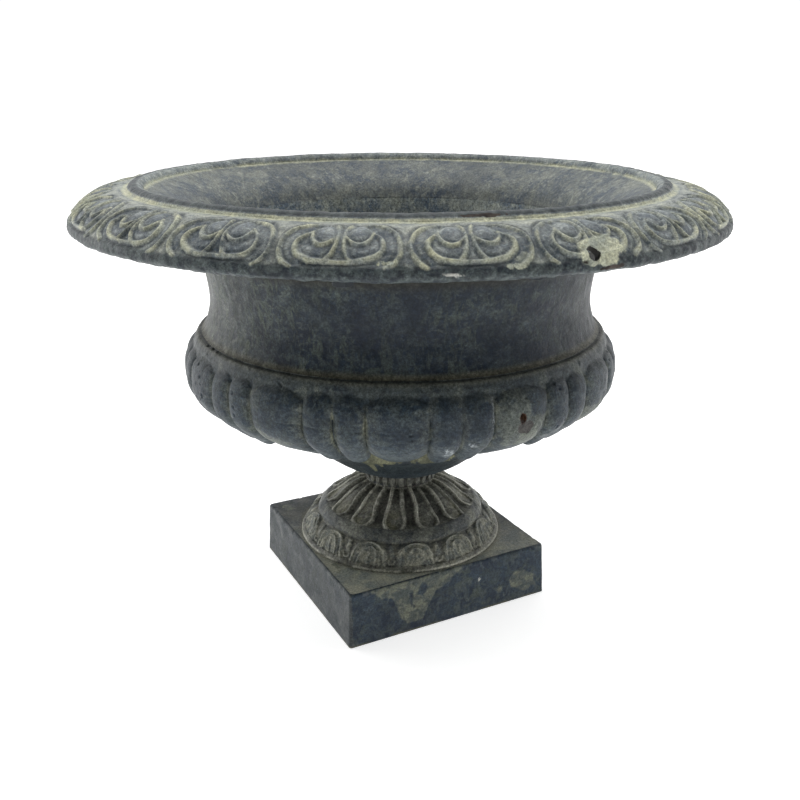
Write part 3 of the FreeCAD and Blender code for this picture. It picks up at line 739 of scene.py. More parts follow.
def spot_s(g, S, phi_deg, s_mm, half_phi_mm, half_s_mm, radius, seed, rag=0.45, scale=3.0):
    dx = wrap(g.PHI - phi_deg * D2R) * radius / half_phi_mm
    dy = (S - s_mm) / half_s_mm
    q = np.hypot(dx, dy)
    near = q < 2.5
    out = np.zeros_like(q)
    if near.any():
        n = fbm(g.R[near] * np.cos(g.TH[near]) / scale + 7.7, g.R[near] * np.sin(g.TH[near]) / scale + 3.1,
                g.Z[near] / scale + 9.9, seed, 4)
        out[near] = 1 - sstep(0.55, 1.05, q[near] + (n - 0.5) * 2 * rag)
    return out


# ------------------------------------------------------------------- the socle
PETALS = 13
PETAL_PITCH = 360.0 / PETALS
PETAL_AT = -4.6


def petal_x(PHI):
    a = ((PHI / D2R) - PETAL_AT) / PETAL_PITCH
    c = np.round(a)
    return (a - c) * PETAL_PITCH, c.astype(int) % PETALS


def flute_wave(PHI):
    """Height across the flutes at the stem: flat ridges at the petals' outlines, 0 to 1."""
    x, _ = petal_x(PHI)
    return sstep(-0.75, 0.05, np.cos((np.abs(x) - 7.2) / (PETAL_PITCH / 2) * 2 * math.pi))


def build_socle():
    sec, tag = chain([
        ([(6.7, 90.6), (16.4, 90.6)], 3.2),
        ([(16.4, 90.6), (16.4, 95.0)], 2.2),
        ([(16.4, 95.0), (30.0, 95.0)], 3.4),
        ([(30.0, 95.0), (36.2, 92.9), (43.0, 89.3), (48.0, 85.6), (52.4, 81.6), (57.0, 77.6),
          (62.6, 74.3)], 0.5),
        ([(62.6, 74.3), (66.4, 72.4), (69.4, 69.9), (71.1, 67.7), (71.8, 65.9)], 0.5),
        ([(71.8, 65.9), (73.8, 64.8)], 0.6),
        ([(73.8, 64.8), (77.6, 62.2), (80.6, 58.2), (82.6, 54.4), (84.4, 50.8)], 0.45),
        ([(84.4, 50.8), (85.9, 48.9), (87.0, 47.4), (87.3, 46.1)], 0.6),
        ([(87.3, 46.1), (78.2, 46.1)], 3.0),
        ([(78.2, 46.1), (76.5, 51.0), (71.5, 58.0), (62.5, 64.0), (55.0, 70.0), (44.5, 77.4), (36.0, 81.4),
          (28.0, 83.6)], 2.6),
        ([(28.0, 83.6), (6.7, 83.6)], 5.0),
        ([(6.7, 83.6), (6.7, 90.6)], 3.5),
    ])
    g = Turned(sec, 1170)
    T = tag[None, :]
    j0 = int(np.argmin(np.hypot(sec[:, 0] - 30.0, sec[:, 1] - 95.0)))
    outer = (tag >= 3) & (tag <= 7)
    O = outer[None, :] * 1.0
    S = g.S - g.s[j0]
    at = lambda r, z: g.s[int(np.argmin(np.hypot(sec[:, 0] - r, sec[:, 1] - z) + 1e3 * ~outer))] - g.s[j0]
    s_pet = at(63.6, 73.8)            # foot of the petals
    s_tor1 = at(71.8, 65.9)
    s_leaf0, s_leaf1 = at(72.8, 65.3), at(84.4, 50.8)

    x, pi = petal_x(g.PHI)
    rng = np.random.RandomState(14)
    jit = rng.rand(PETALS, 4) - 0.5
    x = x + jit[pi, 0] * 1.4 * sstep(2, 14, S) + (g.n3(9.0, 300, 2) - 0.5) * 1.6 * sstep(1, 8, S)
    ax = np.abs(x)
    mm = g.R * D2R                      # mm per degree here
    # outline of a petal: half width in degrees down its length, closed by an arc
    v = np.clip(S / s_pet, -1, 3)
    half = np.interp(v, [0, 0.25, 0.5, 0.75, 1.0], [7.2, 6.8, 7.0, 8.2, 8.8]) + jit[pi, 1] * 0.7
    rad = 8.6 * D2R * 60.0
    cap = s_pet - rad * 0.9 + jit[pi, 2] * 1.2
    dx = (ax - half) * mm
    dcap = np.hypot(ax * mm, (S - cap)) - rad * (half / 8.6) * (mm / (60.0 * D2R))
    sd = np.where(S > cap, dcap, dx)    # signed distance to the outline, negative inside
    rw = np.interp(v, [0, 0.3, 0.7, 1.0], [1.75, 1.65, 1.6, 1.5]) * (0.85 + 0.3 * g.n3(6.0, 305, 2))
    line = np.exp(-np.abs(sd / rw) ** 3.2)
    floor_in = -2.0 + 0.9 * np.clip(-sd / 4.5, 0, 1) * np.interp(v, [0, 0.6, 1.0], [0.1, 0.7, 1.1])
    floor_out = -3.3 + 2.6 * sstep(0.72, 1.04, v)
    flute = np.where(sd < 0, floor_in, floor_out) * (1 - line)
    zone = O * (1 - sstep(s_pet + 0.2, s_pet + 2.0, S)) * (T == 3) + O * (T == 4) * (1 - sstep(s_pet + 0.2, s_pet + 2.0, S))
    disp = flute * zone - zone * line * 0.5 * (g.n3(5.0, 306, 2) - 0.3)
    # the torus is plain but uneven
    tor = O * sstep(s_pet, s_pet + 2.5, S) * (1 - sstep(s_tor1 - 2, s_tor1, S))
    disp = disp + tor * (g.n3(9, 301, 3) - 0.5) * 0.8

    # leaves under the torus: arched outline, ribs inside, tongue with a small cup between
    lv = (S - s_leaf0) / (s_leaf1 - s_leaf0)
    a = (g.PHI / D2R - PETAL_AT) / PETAL_PITCH
    lx = (a - np.floor(a) - 0.5) * PETAL_PITCH      # degrees from the middle of a leaf
    lx = lx + (g.n3(10.0, 307, 2) - 0.5) * 3.0
    lm = np.abs(lx) * 80.0 * D2R
    span = s_leaf1 - s_leaf0
    hw = np.interp(lv, [-0.02, 0.02, 0.08, 0.18, 0.34, 0.6, 1.0], [0.0, 2.6, 6.2, 9.2, 11.4, 13.2, 14.2])
    slope = np.interp(lv, [0, 0.1, 0.3, 0.6, 1.0], [0.35, 0.55, 0.85, 0.97, 1.0])
    d_out = np.abs(lm - hw) * slope
    arch = np.exp(-np.abs(d_out / 1.45) ** 2.6) * sstep(-0.05, 0.03, lv)
    hw2 = np.interp(lv, [0.20, 0.26, 0.36, 0.6, 1.0], [0.0, 2.2, 4.6, 6.6, 7.6])
    arch2 = np.exp(-np.abs((lm - hw2) * slope / 1.05) ** 2.2) * sstep(0.18, 0.26, lv)
    vein = np.exp(-(lm / 1.0) ** 2) * sstep(0.40, 0.55, lv)
    side = np.exp(-((lm - 10.6 + 4.0 * (1 - lv)) / 0.9) ** 2) * sstep(0.45, 0.6, lv)
    inner = lm < hw
    tx = (PETAL_PITCH / 2 - np.abs(lx)) * 80.0 * D2R
    tongue = np.exp(-np.abs(tx / 2.1) ** 4) * sstep(0.02, 0.14, lv) * (1 - sstep(0.55, 0.75, lv))
    du = np.hypot(tx, (lv - 0.78) * span)
    cup = np.exp(-((du - 2.6) / 0.9) ** 2) * (lv > 0.72)
    ground = np.where(inner, -1.1, -1.6)
    leaf = np.maximum.reduce([ground + 1.35 * arch, ground + 1.05 * arch2, ground + 0.8 * vein, ground + 0.8 * side,
                              ground + 0.9 * tongue, ground + 1.4 * cup])
    lz = O * sstep(-0.10, 0.0, lv) * (1 - sstep(0.99, 1.05, lv)) * (T >= 5)
    disp = disp * (1 - lz) + np.minimum(leaf, 0.1) * lz
    disp = disp + (g.n3(4.0, 302, 3) - 0.5) * 0.5 * O + (g.n3(18.0, 303, 2) - 0.5) * 0.5 * O
    disp = disp * sstep(46.1, 47.4, g.Z) ** 0.5
    g.d = np.clip(disp, -3.8, 0.4)

    rub = sstep(0.34, 0.60, g.n3(7, 311, 4) + 0.06)
    g.attrs["ridge"] = np.clip(line * zone + np.maximum(np.maximum(0.40 * arch, 0.42 * arch2), np.maximum(0.8 * cup, 0.4 * side)) * lz, 0, 1) * rub
    # painted highlight on the left edge of each petal outline
    left_ridge_highlight = np.clip(zone * np.exp(-((sd + np.sign(x) * -0.9) / 0.55) ** 2) * (x < 0) + zone * np.exp(-((sd - 0.5) / 0.5) ** 2) * (x < 0), 0, 1)
    g.attrs["left_ridge_highlight"] = left_ridge_highlight * sstep(0.36, 0.56, g.n3(9, 315, 3))
    # painted shade in the gaps between petals and leaves and in the petals' upper hollows
    g.attrs["recess_shade"] = np.clip(zone * sstep(0.8, 2.4, sd) * (1 - sstep(0.85, 1.0, v)) + 0.8 * lz * (~inner) * (1 - arch)
                              * (1 - tongue) * (1 - cup) + 0.5 * zone * (sd < -1.2) * (1 - sstep(0.25, 0.6, v)), 0, 1)
    g.attrs["leaf"] = lz
    g.attrs["torus"] = O * sstep(s_pet - 0.5, s_pet + 2.0, S) * (1 - sstep(s_tor1 - 0.5, s_tor1 + 1.0, S))
    g.attrs["olive"] = zone * (sd < -0.8) * sstep(0.45, 0.9, v) * sstep(0.42, 0.62, g.n3(10, 312, 3))
    # painted highlight along the foot's top edge
    foot = O * np.exp(-((S - at(86.9, 47.5)) / 0.9) ** 2)
    g.attrs["edge"] = foot * sstep(0.42, 0.55, g.n3(26, 313, 3))
    g.attrs["rust"] = (1 - O) * 0.6 * sstep(0.45, 0.72, g.n3(18, 314, 4))
    me = g.build("socle_casting", 2)
    return add_object("socle_casting", me)


# ------------------------------------------------------------------ the plinth
def inside_of(px, py, outline):
    """Signed distance to an outline, positive inside."""
    d = np.full(px.shape, 1e9)
    inside = np.zeros(px.shape, bool)
    pts = np.array(outline, float)
    for (x0, y0), (x1, y1) in zip(pts, np.roll(pts, -1, 0)):
        ex, ey = x1 - x0, y1 - y0
        t = np.clip(((px - x0) * ex + (py - y0) * ey) / (ex * ex + ey * ey), 0, 1)
        d = np.minimum(d, np.hypot(px - x0 - t * ex, py - y0 - t * ey))
        if y0 != y1:
            inside ^= ((y0 > py) != (y1 > py)) & (px < ex * (py - y0) / ey + x0)
    return np.where(inside, d, -d)


def build_plinth():
    """Open box with leaning sides and narrow rounded edges, as rows of a rounded square."""
    half_b, half_t, height, wall = 92.6, 90.6, 46.1, 6.0
    rows = []      # (half side, z, corner radius)
    lean = (half_b - half_t) / height
    side = lambda z: half_b - lean * z
    er, cr0 = 1.5, 2.6
    for z in np.linspace(1.0, height - er, 44):
        rows.append((side(z), z, cr0))
    for k in range(1, 6):
        q = k / 5 * math.pi / 2
        rows.append((side(height) - er + er * math.cos(q), height - er + er * math.sin(q), cr0))
    n_out = len(rows)
    for hs in np.linspace(side(height) - er - 1.0, 7.2, 70):
        rows.append((hs, height, None))
    n_top = len(rows)
    zt = height - wall
    for hs in np.linspace(7.2, side(zt) - wall - 1.0, 14):
        rows.append((hs, zt, None))
    for z in np.linspace(zt - 1.0, 1.2, 10):
        rows.append((side(z) - wall, z, 2.0))
    for hs, z in ((side(0.5) - wall + 0.4, 0.35), (side(0) - wall + 1.2, 0.0), (side(0) - 1.2, 0.0), (side(0) - 0.35, 0.3)):
        rows.append((hs, z, 2.2))
    per = 180                      # columns on each side
    m = len(rows)
    n = per * 4
    u = (np.arange(n) + 0.0) / per
    sidx = np.floor(u).astype(int)
    f = (u - sidx) * 2 - 1         # -1 to 1 along the side
    f = np.sin(f * math.pi / 2) * 0.25 + f * 0.75
    P = np.zeros((n, m, 3))
    dirs = [((1, 0), (0, 1)), ((0, 1), (-1, 0)), ((-1, 0), (0, -1)), ((0, -1), (1, 0))]
    for j, (hs, z, cr) in enumerate(rows):
        if cr is None:
            big = side(height) - er
            w = np.clip((hs - 7.2) / (big - 7.2), 0, 1)
            cr_j = min(hs * (1 - w) * 0.9999 + cr0 * w, hs * 0.9999)
        else:
            cr_j = cr
        for s in range(4):
            sel = sidx == s
            nrm, tan = np.array(dirs[s][0], float), np.array(dirs[s][1], float)
            a = f[sel] * hs
            core = hs - cr_j
            ang = np.clip((np.abs(a) - core) / max(cr_j, 1e-6), 0, 1) * (math.pi / 4)
            inside = np.abs(a) <= core
            off_n = np.where(inside, hs, core + cr_j * np.cos(ang))
            off_t = np.where(inside, a, np.sign(a) * (core + cr_j * np.sin(ang)))
            if core < hs * 0.02:       # round ring at the rod hole
                an = f[sel] * math.pi / 4
                off_n, off_t = hs * np.cos(an), hs * np.sin(an)
            P[sel, j, 0] = nrm[0] * off_n + tan[0] * off_t
            P[sel, j, 1] = nrm[1] * off_n + tan[1] * off_t
            P[sel, j, 2] = z
    # normals from the grid itself
    dth = np.roll(P, -1, 0) - np.roll(P, 1, 0)
    dj = np.roll(P, -1, 1) - np.roll(P, 1, 1)
    N = np.cross(dth, dj)
    N /= np.maximum(np.linalg.norm(N, axis=2, keepdims=True), 1e-9)
    x, y, z = P[..., 0], P[..., 1], P[..., 2]
    rows_i = np.arange(m)
    out = np.broadcast_to((rows_i < n_top)[None, :] * 1.0, (n, m))
    flat = ((rows_i >= n_out) & (rows_i < n_top))[None, :]
    d = (fbm(x / 34 + 5, y / 34 + 9, z / 34 + 2, 401, 3) - 0.5) * 0.9 + (fbm(x / 5 + 5, y / 5, z / 5, 402, 3) - 0.5) * 0.36
    edge = np.zeros((n, m))
    edge[:, n_out - 7:n_out + 1] = 1
    nick = sstep(0.66, 0.82, fbm(x / 5, y / 5, z / 5, 403, 3)) * edge
    d = d * out - 0.6 * nick
    d = np.where(z < 1.2, 0, d)
    d = np.where(out > 0, np.clip(d, -2.0, 0.4), 0)
    d = np.where(flat & (np.hypot(x, y) < 89.5), np.minimum(d, 0.0), d)
    P = P + N * d[..., None]
    P[..., 2] = np.maximum(P[..., 2], 0.0)
    idx = np.arange(n * m).reshape(n, m)
    i1, j1 = np.roll(idx, -1, 0), np.roll(idx, -1, 1)
    ij = np.roll(i1, -1, 1)
    faces = np.stack([idx, i1, ij, j1], -1).reshape(-1, 4)
    me = make_mesh("plinth_casting", (P / 1000).reshape(-1, 3), faces)
    prof = np.array([(r[0], r[1]) for r in rows])
    cum = np.concatenate([[0], np.cumsum(np.hypot(*(prof[1:] - prof[:-1]).T))])
    v = np.append(cum, cum[-1] + 2.0) / (cum[-1] + 2.0)
    uv = np.zeros((n, m, 4, 2))
    st = sidx[:, None]
    ua = np.broadcast_to(((np.arange(n) % per) / per)[:, None], (n, m))
    ub = ua + 1.0 / per
    va, vb = np.broadcast_to(v[:-1][None], (n, m)), np.broadcast_to(v[1:][None], (n, m))
    for c, (uu, vv) in enumerate(((ua, va), (ub, va), (ub, vb), (ua, vb))):
        uv[..., c, 0] = 0.01 + 0.98 * uu
        uv[..., c, 1] = (st + 0.01 + 0.98 * vv) / 4
    layer = me.uv_layers.new(name="OFBake")
    layer.data.foreach_set("uv", uv.reshape(-1).astype(np.float32))

    def put(name, val):
        at = me.attributes.new(name, "FLOAT", "POINT")
        at.data.foreach_set("value", np.clip(val, 0, 1).reshape(-1).astype(np.float32))
    # khaki glaze that ran over the facing side, and paler clouds of it elsewhere
    wx = x + (fbm(x / 9, y / 9, z / 9, 414, 3) - 0.5) * 5
    wz = z + (fbm(x / 9 + 4, y / 9, z / 9, 415, 3) - 0.5) * 5
    run = inside_of(wx, wz, [(-73, 47), (-48, 47), (12, 47), (10, 44.4), (2.5, 37.8), (-6, 32.9), (-14.5, 29.2), (-19.3, 22.6),
                             (-22.9, 15.1), (-27.7, 9.1), (-32.5, 7.5), (-39.7, 8.1), (-44.4, 11.8), (-49.2, 20.5),
                             (-52.7, 28.7), (-56.1, 35.1), (-63, 36.5), (-72, 43.5)])
    slot = np.maximum(inside_of(wx, wz, [(-27.5, 43), (-21, 35.5), (-26, 27), (-31.5, 32.0)]),
                      inside_of(wx, wz, [(-39.6, 35), (-37.4, 34), (-34.8, 21.0), (-37.0, 21.0)]))
    run = np.minimum(run, -slot)
    far = np.maximum(inside_of(wx, wz, [(72.6, 28.1), (82.6, 19), (84.6, 8.1), (72.5, 5.7), (58.7, 12.2), (54.2, 21.7), (59.3, 26.6)]),
                     inside_of(wx, wz, [(37.3, 19.5), (49.1, 18), (52.8, 10.7), (46.9, 9.8), (38.8, 15.3)]))
    facing = (y < -half_t + 1.5) & (z < height - 0.2)
    face = np.where(facing, np.maximum(run, far - 1.0), -20)
    cloud = (fbm(x / 26 + 3, y / 26, z / 20, 413, 4) - 0.64) * 40 - 3.0 * flat - 9.0 * (x < -half_t + 1.5)
    face = np.where(facing, np.maximum(face, cloud - 6.0), cloud)
    put("glaze", out * (0.5 + face / 16.0))
    put("foot", out * (1 - sstep(1.2, 2.6, z)) * sstep(0.40, 0.55, fbm(x / 22, y / 22, z / 22, 416, 3)) * ~flat)
    put("edge", edge * sstep(0.50, 0.66, fbm(x / 7, y / 7, z / 7, 411, 3)))
    put("rust", np.maximum((1 - out) * 0.7 * sstep(0.42, 0.7, fbm(x / 18, y / 18, z / 18, 412, 4)), nick * 0.22))
    put("ring", np.exp(-((np.hypot(x, y) - 88.0) / 2.0) ** 2) * flat)
    put("flat", np.broadcast_to(flat * 1.0, (n, m)))
    # painted light on the front of the top, where the bowl shades it
    put("near", flat * sstep(-30, 60, x * math.cos(FACING) + y * math.sin(FACING)))
    # left face lighter and greyer: its own paint tone with painted light from the left
    put("left", ((x < -half_t + 1.5) & ~flat) * 1.0)
    chip = np.hypot(x - 26.7, z - 29.4) < 1.1
    put("white", (facing & chip) * 1.0)
    at = me.attributes.new("cyl", "FLOAT_VECTOR", "POINT")
    at.data.foreach_set("vector", (P / 1000).reshape(-1).astype(np.float32))
    return add_object("plinth_casting", me)


# ------------------------------------------------------------------- materials
class Net:
    """Short hand for building up a paint."""

    def __init__(self, name):
        self.mat = bpy.data.materials.new(name)
        self.mat.use_nodes = True
        self.t = self.mat.node_tree
        self.t.nodes.clear()
        self.out = self.t.nodes.new("ShaderNodeOutputMaterial")
        self.bsdf = self.t.nodes.new("ShaderNodeBsdfPrincipled")
        self.t.links.new(self.bsdf.outputs[0], self.out.inputs[0])

    def link(self, a, b):
        self.t.links.new(a, b)

    def val(self, sock, v):
        if hasattr(v, "is_linked") or isinstance(v, bpy.types.NodeSocket):
            self.link(v, sock)
        else:
            sock.default_value = v

    def attr(self, name):
        n = self.t.nodes.new("ShaderNodeAttribute")
        n.attribute_type = "GEOMETRY"
        n.attribute_name = name
        return n.outputs["Fac"]

    def vec(self, name):
        n = self.t.nodes.new("ShaderNodeAttribute")
        n.attribute_name = name
        return n.outputs["Vector"]

    def obj(self):
        n = self.t.nodes.new("ShaderNodeTexCoord")
        return n.outputs["Object"]

    def scale(self, vec, s):
        n = self.t.nodes.new("ShaderNodeMapping")
        self.link(vec, n.inputs["Vector"])
        n.inputs["Scale"].default_value = s if isinstance(s, tuple) else (s, s, s)
        return n.outputs[0]

    def warp(self, vec, scale, amount):
        """Coordinates pushed about by a noise."""
        c = self.noise(vec, scale, 2.0, 0.5, out="Color")
        m = self.t.nodes.new("ShaderNodeVectorMath")
        m.operation = "MULTIPLY_ADD"
        self.link(c, m.inputs[0])
        m.inputs[1].default_value = (amount, amount, amount)
        self.link(vec, m.inputs[2])
        return m.outputs[0]

    def noise(self, vec, scale, detail=4.0, rough=0.55, dist=0.0, out="Fac"):
        n = self.t.nodes.new("ShaderNodeTexNoise")
        self.link(vec, n.inputs["Vector"])
        n.inputs["Scale"].default_value = scale
        n.inputs["Detail"].default_value = detail
        n.inputs["Roughness"].default_value = rough
        n.inputs["Distortion"].default_value = dist
        return n.outputs[out]

    def ramp(self, fac, stops, interp="LINEAR"):
        n = self.t.nodes.new("ShaderNodeValToRGB")
        n.color_ramp.interpolation = interp
        el = n.color_ramp.elements
        while len(el) < len(stops):
            el.new(0.5)
        for e, (p, c) in zip(el, stops):
            e.position = p
            e.color = (c, c, c, 1) if not isinstance(c, (tuple, list)) else (*c, 1)
        self.link(fac, n.inputs[0])
        return n.outputs[0]

    def math(self, op, a, b=0.0, clamp=False):
        n = self.t.nodes.new("ShaderNodeMath")
        n.operation = op
        n.use_clamp = clamp
        self.val(n.inputs[0], a)
        self.val(n.inputs[1], b)
        return n.outputs[0]

    def mix(self, fac, a, b, mode="MIX"):
        n = self.t.nodes.new("ShaderNodeMix")
        n.data_type = "RGBA"
        n.blend_type = mode
        self.val(n.inputs[0], fac)
        for sock, v in ((n.inputs[6], a), (n.inputs[7], b)):
            if isinstance(v, (tuple, list)):
                sock.default_value = (*v, 1)
            else:
                self.val(sock, v)
        return n.outputs[2]

    def bump(self, height, strength, distance, normal=None):
        n = self.t.nodes.new("ShaderNodeBump")
        n.inputs["Strength"].default_value = strength
        n.inputs["Distance"].default_value = distance
        self.link(height, n.inputs["Height"])
        if normal is not None:
            self.link(normal, n.inputs["Normal"])
        return n.outputs[0]


def srgb(r, g, b):
    def f(c):
        c /= 255.0
        return c / 12.92 if c <= 0.04045 else ((c + 0.055) / 1.055) ** 2.4
    return (f(r), f(g), f(b))


NIGHT = srgb(28, 36, 48)
PALE = srgb(202, 201, 167)
CHALK = srgb(206, 206, 198)
RUST = srgb(80, 73, 68)
RUST_DARK = srgb(48, 43, 42)


def paint(name, dark, mid, light, olive, brush=(300.0, 300.0, 100.0), amounts=(0.5, 0.4, 0.6), shade=0.4):
    """Old dabbed and brushed paint on cast iron.

    brush scales the strokes along (round, round, down); amounts are those of dabs, light strokes and olive strokes.
    """
    n = Net(name)
    obj, cyl = n.obj(), n.vec("cyl")
    w = n.warp(obj, 60.0, 0.010)
    big = n.noise(w, 12.0, 3.0, 0.55)
    wash = n.noise(w, 30.0, 4.0, 0.60)
    patch = n.noise(w, 55.0, 6.0, 0.68)
    dab = n.noise(w, 170.0, 5.0, 0.70)
    strokes = n.noise(n.warp(n.scale(cyl, brush), 0.55, 2.4), 1.0, 4.0, 0.60)
    cross = n.noise(n.warp(n.scale(cyl, (brush[2] * 1.3, brush[2] * 1.3, brush[0] * 0.9)), 0.55, 2.6), 1.0, 4.0, 0.60)
    col = n.mix(n.ramp(patch, [(0.40, 0.0), (0.60, 1.0)]), dark, mid)
    some = n.ramp(wash, [(0.38, 0.25), (0.60, 1.0)])
    hair = n.math("MAXIMUM", n.ramp(strokes, [(0.48, 0.0), (0.60, 1.0)]), n.ramp(cross, [(0.53, 0.0), (0.64, 0.9)]))
    col = n.mix(n.math("MULTIPLY", n.math("MULTIPLY", hair, some), amounts[2]), col, olive)
    col = n.mix(n.math("MULTIPLY", n.ramp(dab, [(0.50, 0.0), (0.62, 1.0)]), amounts[0]), col, light)
    col = n.mix(n.math("MULTIPLY", n.ramp(cross, [(0.50, 0.0), (0.62, 1.0)]), amounts[1]), col, light)
    col = n.mix(n.math("MULTIPLY", n.ramp(big, [(0.38, 1.0), (0.54, 0.0)]), shade), col, NIGHT)
    return n, col, dict(big=big, wash=wash, patch=patch, dab=dab, strokes=strokes, cross=cross, hair=hair, obj=obj, cyl=cyl)


def lay(n, col, mask, amount, a, b=None, by=None):
    """Lays a colour, or a mottle of two, over what is there."""
    tone = a if b is None else n.mix(n.ramp(by, [(0.40, 0.0), (0.60, 1.0)]), a, b)
    return n.mix(n.math("MULTIPLY", mask, amount), col, tone)


def ragged(n, mask, by, wild, lo, hi):
    """Mask whose edge wanders with a noise; nothing where the mask is nothing."""
    v = n.math("ADD", mask, n.math("MULTIPLY", n.math("SUBTRACT", by, 0.5), wild))
    return n.math("MULTIPLY", n.ramp(v, [(lo, 0.0), (hi, 1.0)]), n.ramp(mask, [(0.02, 0.0), (0.12, 1.0)]))


def throat_tone(n, k, lift=1.0):
    """Weathered inside of the urn, the same run of colour through rim and neck."""
    # lift makes all colours lighter; the neck uses it as painted light on its upper inside
    up = lambda c: tuple(lift * v for v in c)
    a = n.mix(n.ramp(k["patch"], [(0.40, 0.0), (0.62, 1.0)]), up(srgb(70, 80, 90)), up(srgb(116, 120, 113)))
    a = n.mix(n.math("MULTIPLY", n.ramp(k["dab"], [(0.52, 0.0), (0.64, 1.0)]), 0.60), a, up(srgb(146, 149, 138)))
    a = n.mix(n.math("MULTIPLY", n.ramp(k["hair"], [(0.30, 0.0), (0.90, 1.0)]), 0.35), a, up(srgb(118, 121, 112)))
    return n.mix(n.math("MULTIPLY", n.ramp(k["big"], [(0.36, 1.0), (0.52, 0.0)]), 0.5), a, up(srgb(62, 69, 75)))


def finish_paint(n, col, k, rust=None, rough=(0.40, 0.60), grain=1.0, speckle=1.0):
    """Speckle, rust, roughness and the small surface relief of brushed paint on sand-cast iron."""
    fine = n.noise(k["obj"], 520.0, 4.0, 0.75)
    speck = n.ramp(fine, [(0.34, 0.46), (0.50, 1.0), (0.66, 1.62)])
    col = n.mix(0.85 * speckle, col, speck, "MULTIPLY")
    dust = n.ramp(n.noise(k["obj"], 1200.0, 2.0, 0.7), [(0.32, 0.66), (0.50, 1.0), (0.68, 1.36)])
    col = n.mix(0.8, col, dust, "MULTIPLY")
    rgh = n.ramp(k["strokes"], [(0.35, rough[0]), (0.65, rough[1])])
    if rust is not None:
        tone = n.mix(n.ramp(n.noise(k["obj"], 160.0, 5.0, 0.65), [(0.38, 0.0), (0.64, 1.0)]), RUST_DARK, RUST)
        m = ragged(n, rust, n.noise(k["obj"], 240.0, 4.0, 0.6), 0.9, 0.30, 0.46)
        col = n.mix(m, col, tone)
        rgh = n.mix(m, rgh, (0.85, 0.85, 0.85))
    n.link(col, n.bsdf.inputs["Base Color"])
    n.link(rgh, n.bsdf.inputs["Roughness"])
    h = n.math("ADD", n.math("MULTIPLY", k["strokes"], 0.5), n.math("MULTIPLY", fine, 0.55 * grain))
    h = n.math("ADD", h, n.math("MULTIPLY", k["dab"], 0.9 * grain))
    n.link(n.bump(h, 0.5, 0.0010), n.bsdf.inputs["Normal"])
    n.bsdf.inputs["Specular IOR Level"].default_value = 0.24
    return n.mat


def mat_rim():
    n, col, k = paint("rim_paint", srgb(74, 85, 93), srgb(130, 138, 138), srgb(172, 176, 168), srgb(152, 156, 138),
                      (300.0, 300.0, 140.0), (0.50, 0.35, 0.40), 0.25)
    col = lay(n, col, n.attr("plain"), 0.66, srgb(124, 130, 128), srgb(172, 174, 158), k["patch"])
    col = lay(n, col, n.attr("swell"), 0.50, srgb(80, 90, 100), srgb(140, 147, 148), k["dab"])
    # painted shade beside the ridges and under the eyes
    col = lay(n, col, n.attr("painted_shade_band"), 0.64, srgb(34, 42, 51), srgb(68, 76, 81), k["dab"])
    col = lay(n, col, n.attr("roll"), 0.93, srgb(22, 30, 39), srgb(72, 81, 81), k["dab"])
    col = lay(n, col, n.attr("bead"), 0.93, srgb(30, 39, 45), srgb(66, 74, 75), k["dab"])
    # painted highlight along the bead's inner top edge
    col = lay(n, col, n.attr("crest"), 0.36, srgb(82, 90, 92), srgb(130, 138, 136), k["dab"])
    col = lay(n, col, n.attr("inside"), 0.95, throat_tone(n, k))
    pale = n.mix(n.ramp(k["patch"], [(0.42, 0.0), (0.60, 1.0)]), PALE, srgb(172, 175, 152))
    wear = n.math("ADD", n.math("MULTIPLY", k["dab"], 0.5), n.math("MULTIPLY", k["wash"], 0.5))
    col = n.mix(n.math("MULTIPLY", ragged(n, n.attr("pale"), wear, 1.3, 0.12, 0.98), 0.86), col, pale)
    col = n.mix(n.math("MULTIPLY", ragged(n, n.attr("smear"), k["dab"], 0.8, 0.22, 0.66), 0.90), col,
                n.mix(n.ramp(k["patch"], [(0.40, 0.0), (0.60, 1.0)]), srgb(156, 162, 150), srgb(198, 199, 171)))
    col = lay(n, col, n.attr("white"), 0.9, CHALK)
    col = lay(n, col, n.attr("cut"), 1.0, srgb(22, 22, 18), srgb(40, 38, 32), k["dab"])
    return finish_paint(n, col, k, n.attr("rust"), speckle=0.8)


def mat_neck():
    n, col, k = paint("neck_paint", srgb(10, 22, 37), srgb(35, 47, 57), srgb(82, 91, 88), srgb(90, 97, 83),
                      (230.0, 230.0, 80.0), (0.42, 0.30, 0.72), 0.50)
    col = n.mix(n.math("MULTIPLY", n.ramp(k["wash"], [(0.40, 1.0), (0.54, 0.0)]), 0.42), col, srgb(8, 17, 31))
    col = n.mix(n.math("MULTIPLY", n.ramp(k["patch"], [(0.55, 0.0), (0.68, 1.0)]), 0.40), col, srgb(80, 88, 86))
    col = lay(n, col, n.attr("core"), 0.40, srgb(12, 25, 38))
    # olive paint, partly painted light on the left side
    col = lay(n, col, n.attr("olive"), 0.58, srgb(58, 64, 62), srgb(108, 111, 98), k["dab"])
    # painted shade on the neck's right side
    col = lay(n, col, n.attr("right_side_shade"), 0.64, srgb(18, 27, 35))
    col = lay(n, col, n.attr("foot"), 0.66, srgb(80, 78, 62), srgb(106, 104, 86), k["dab"])
    # painted shade under the rim
    col = lay(n, col, n.attr("sooty"), 0.85, srgb(24, 24, 20), srgb(44, 44, 37), k["dab"])
    col = lay(n, col, n.attr("inside"), 0.95, throat_tone(n, k))
    # painted light: the upper inside in a lighter copy of the throat colours
    col = lay(n, col, n.attr("upper"), 0.95, throat_tone(n, k, 2.1))
    return finish_paint(n, col, k, n.attr("rust"), speckle=1.17)


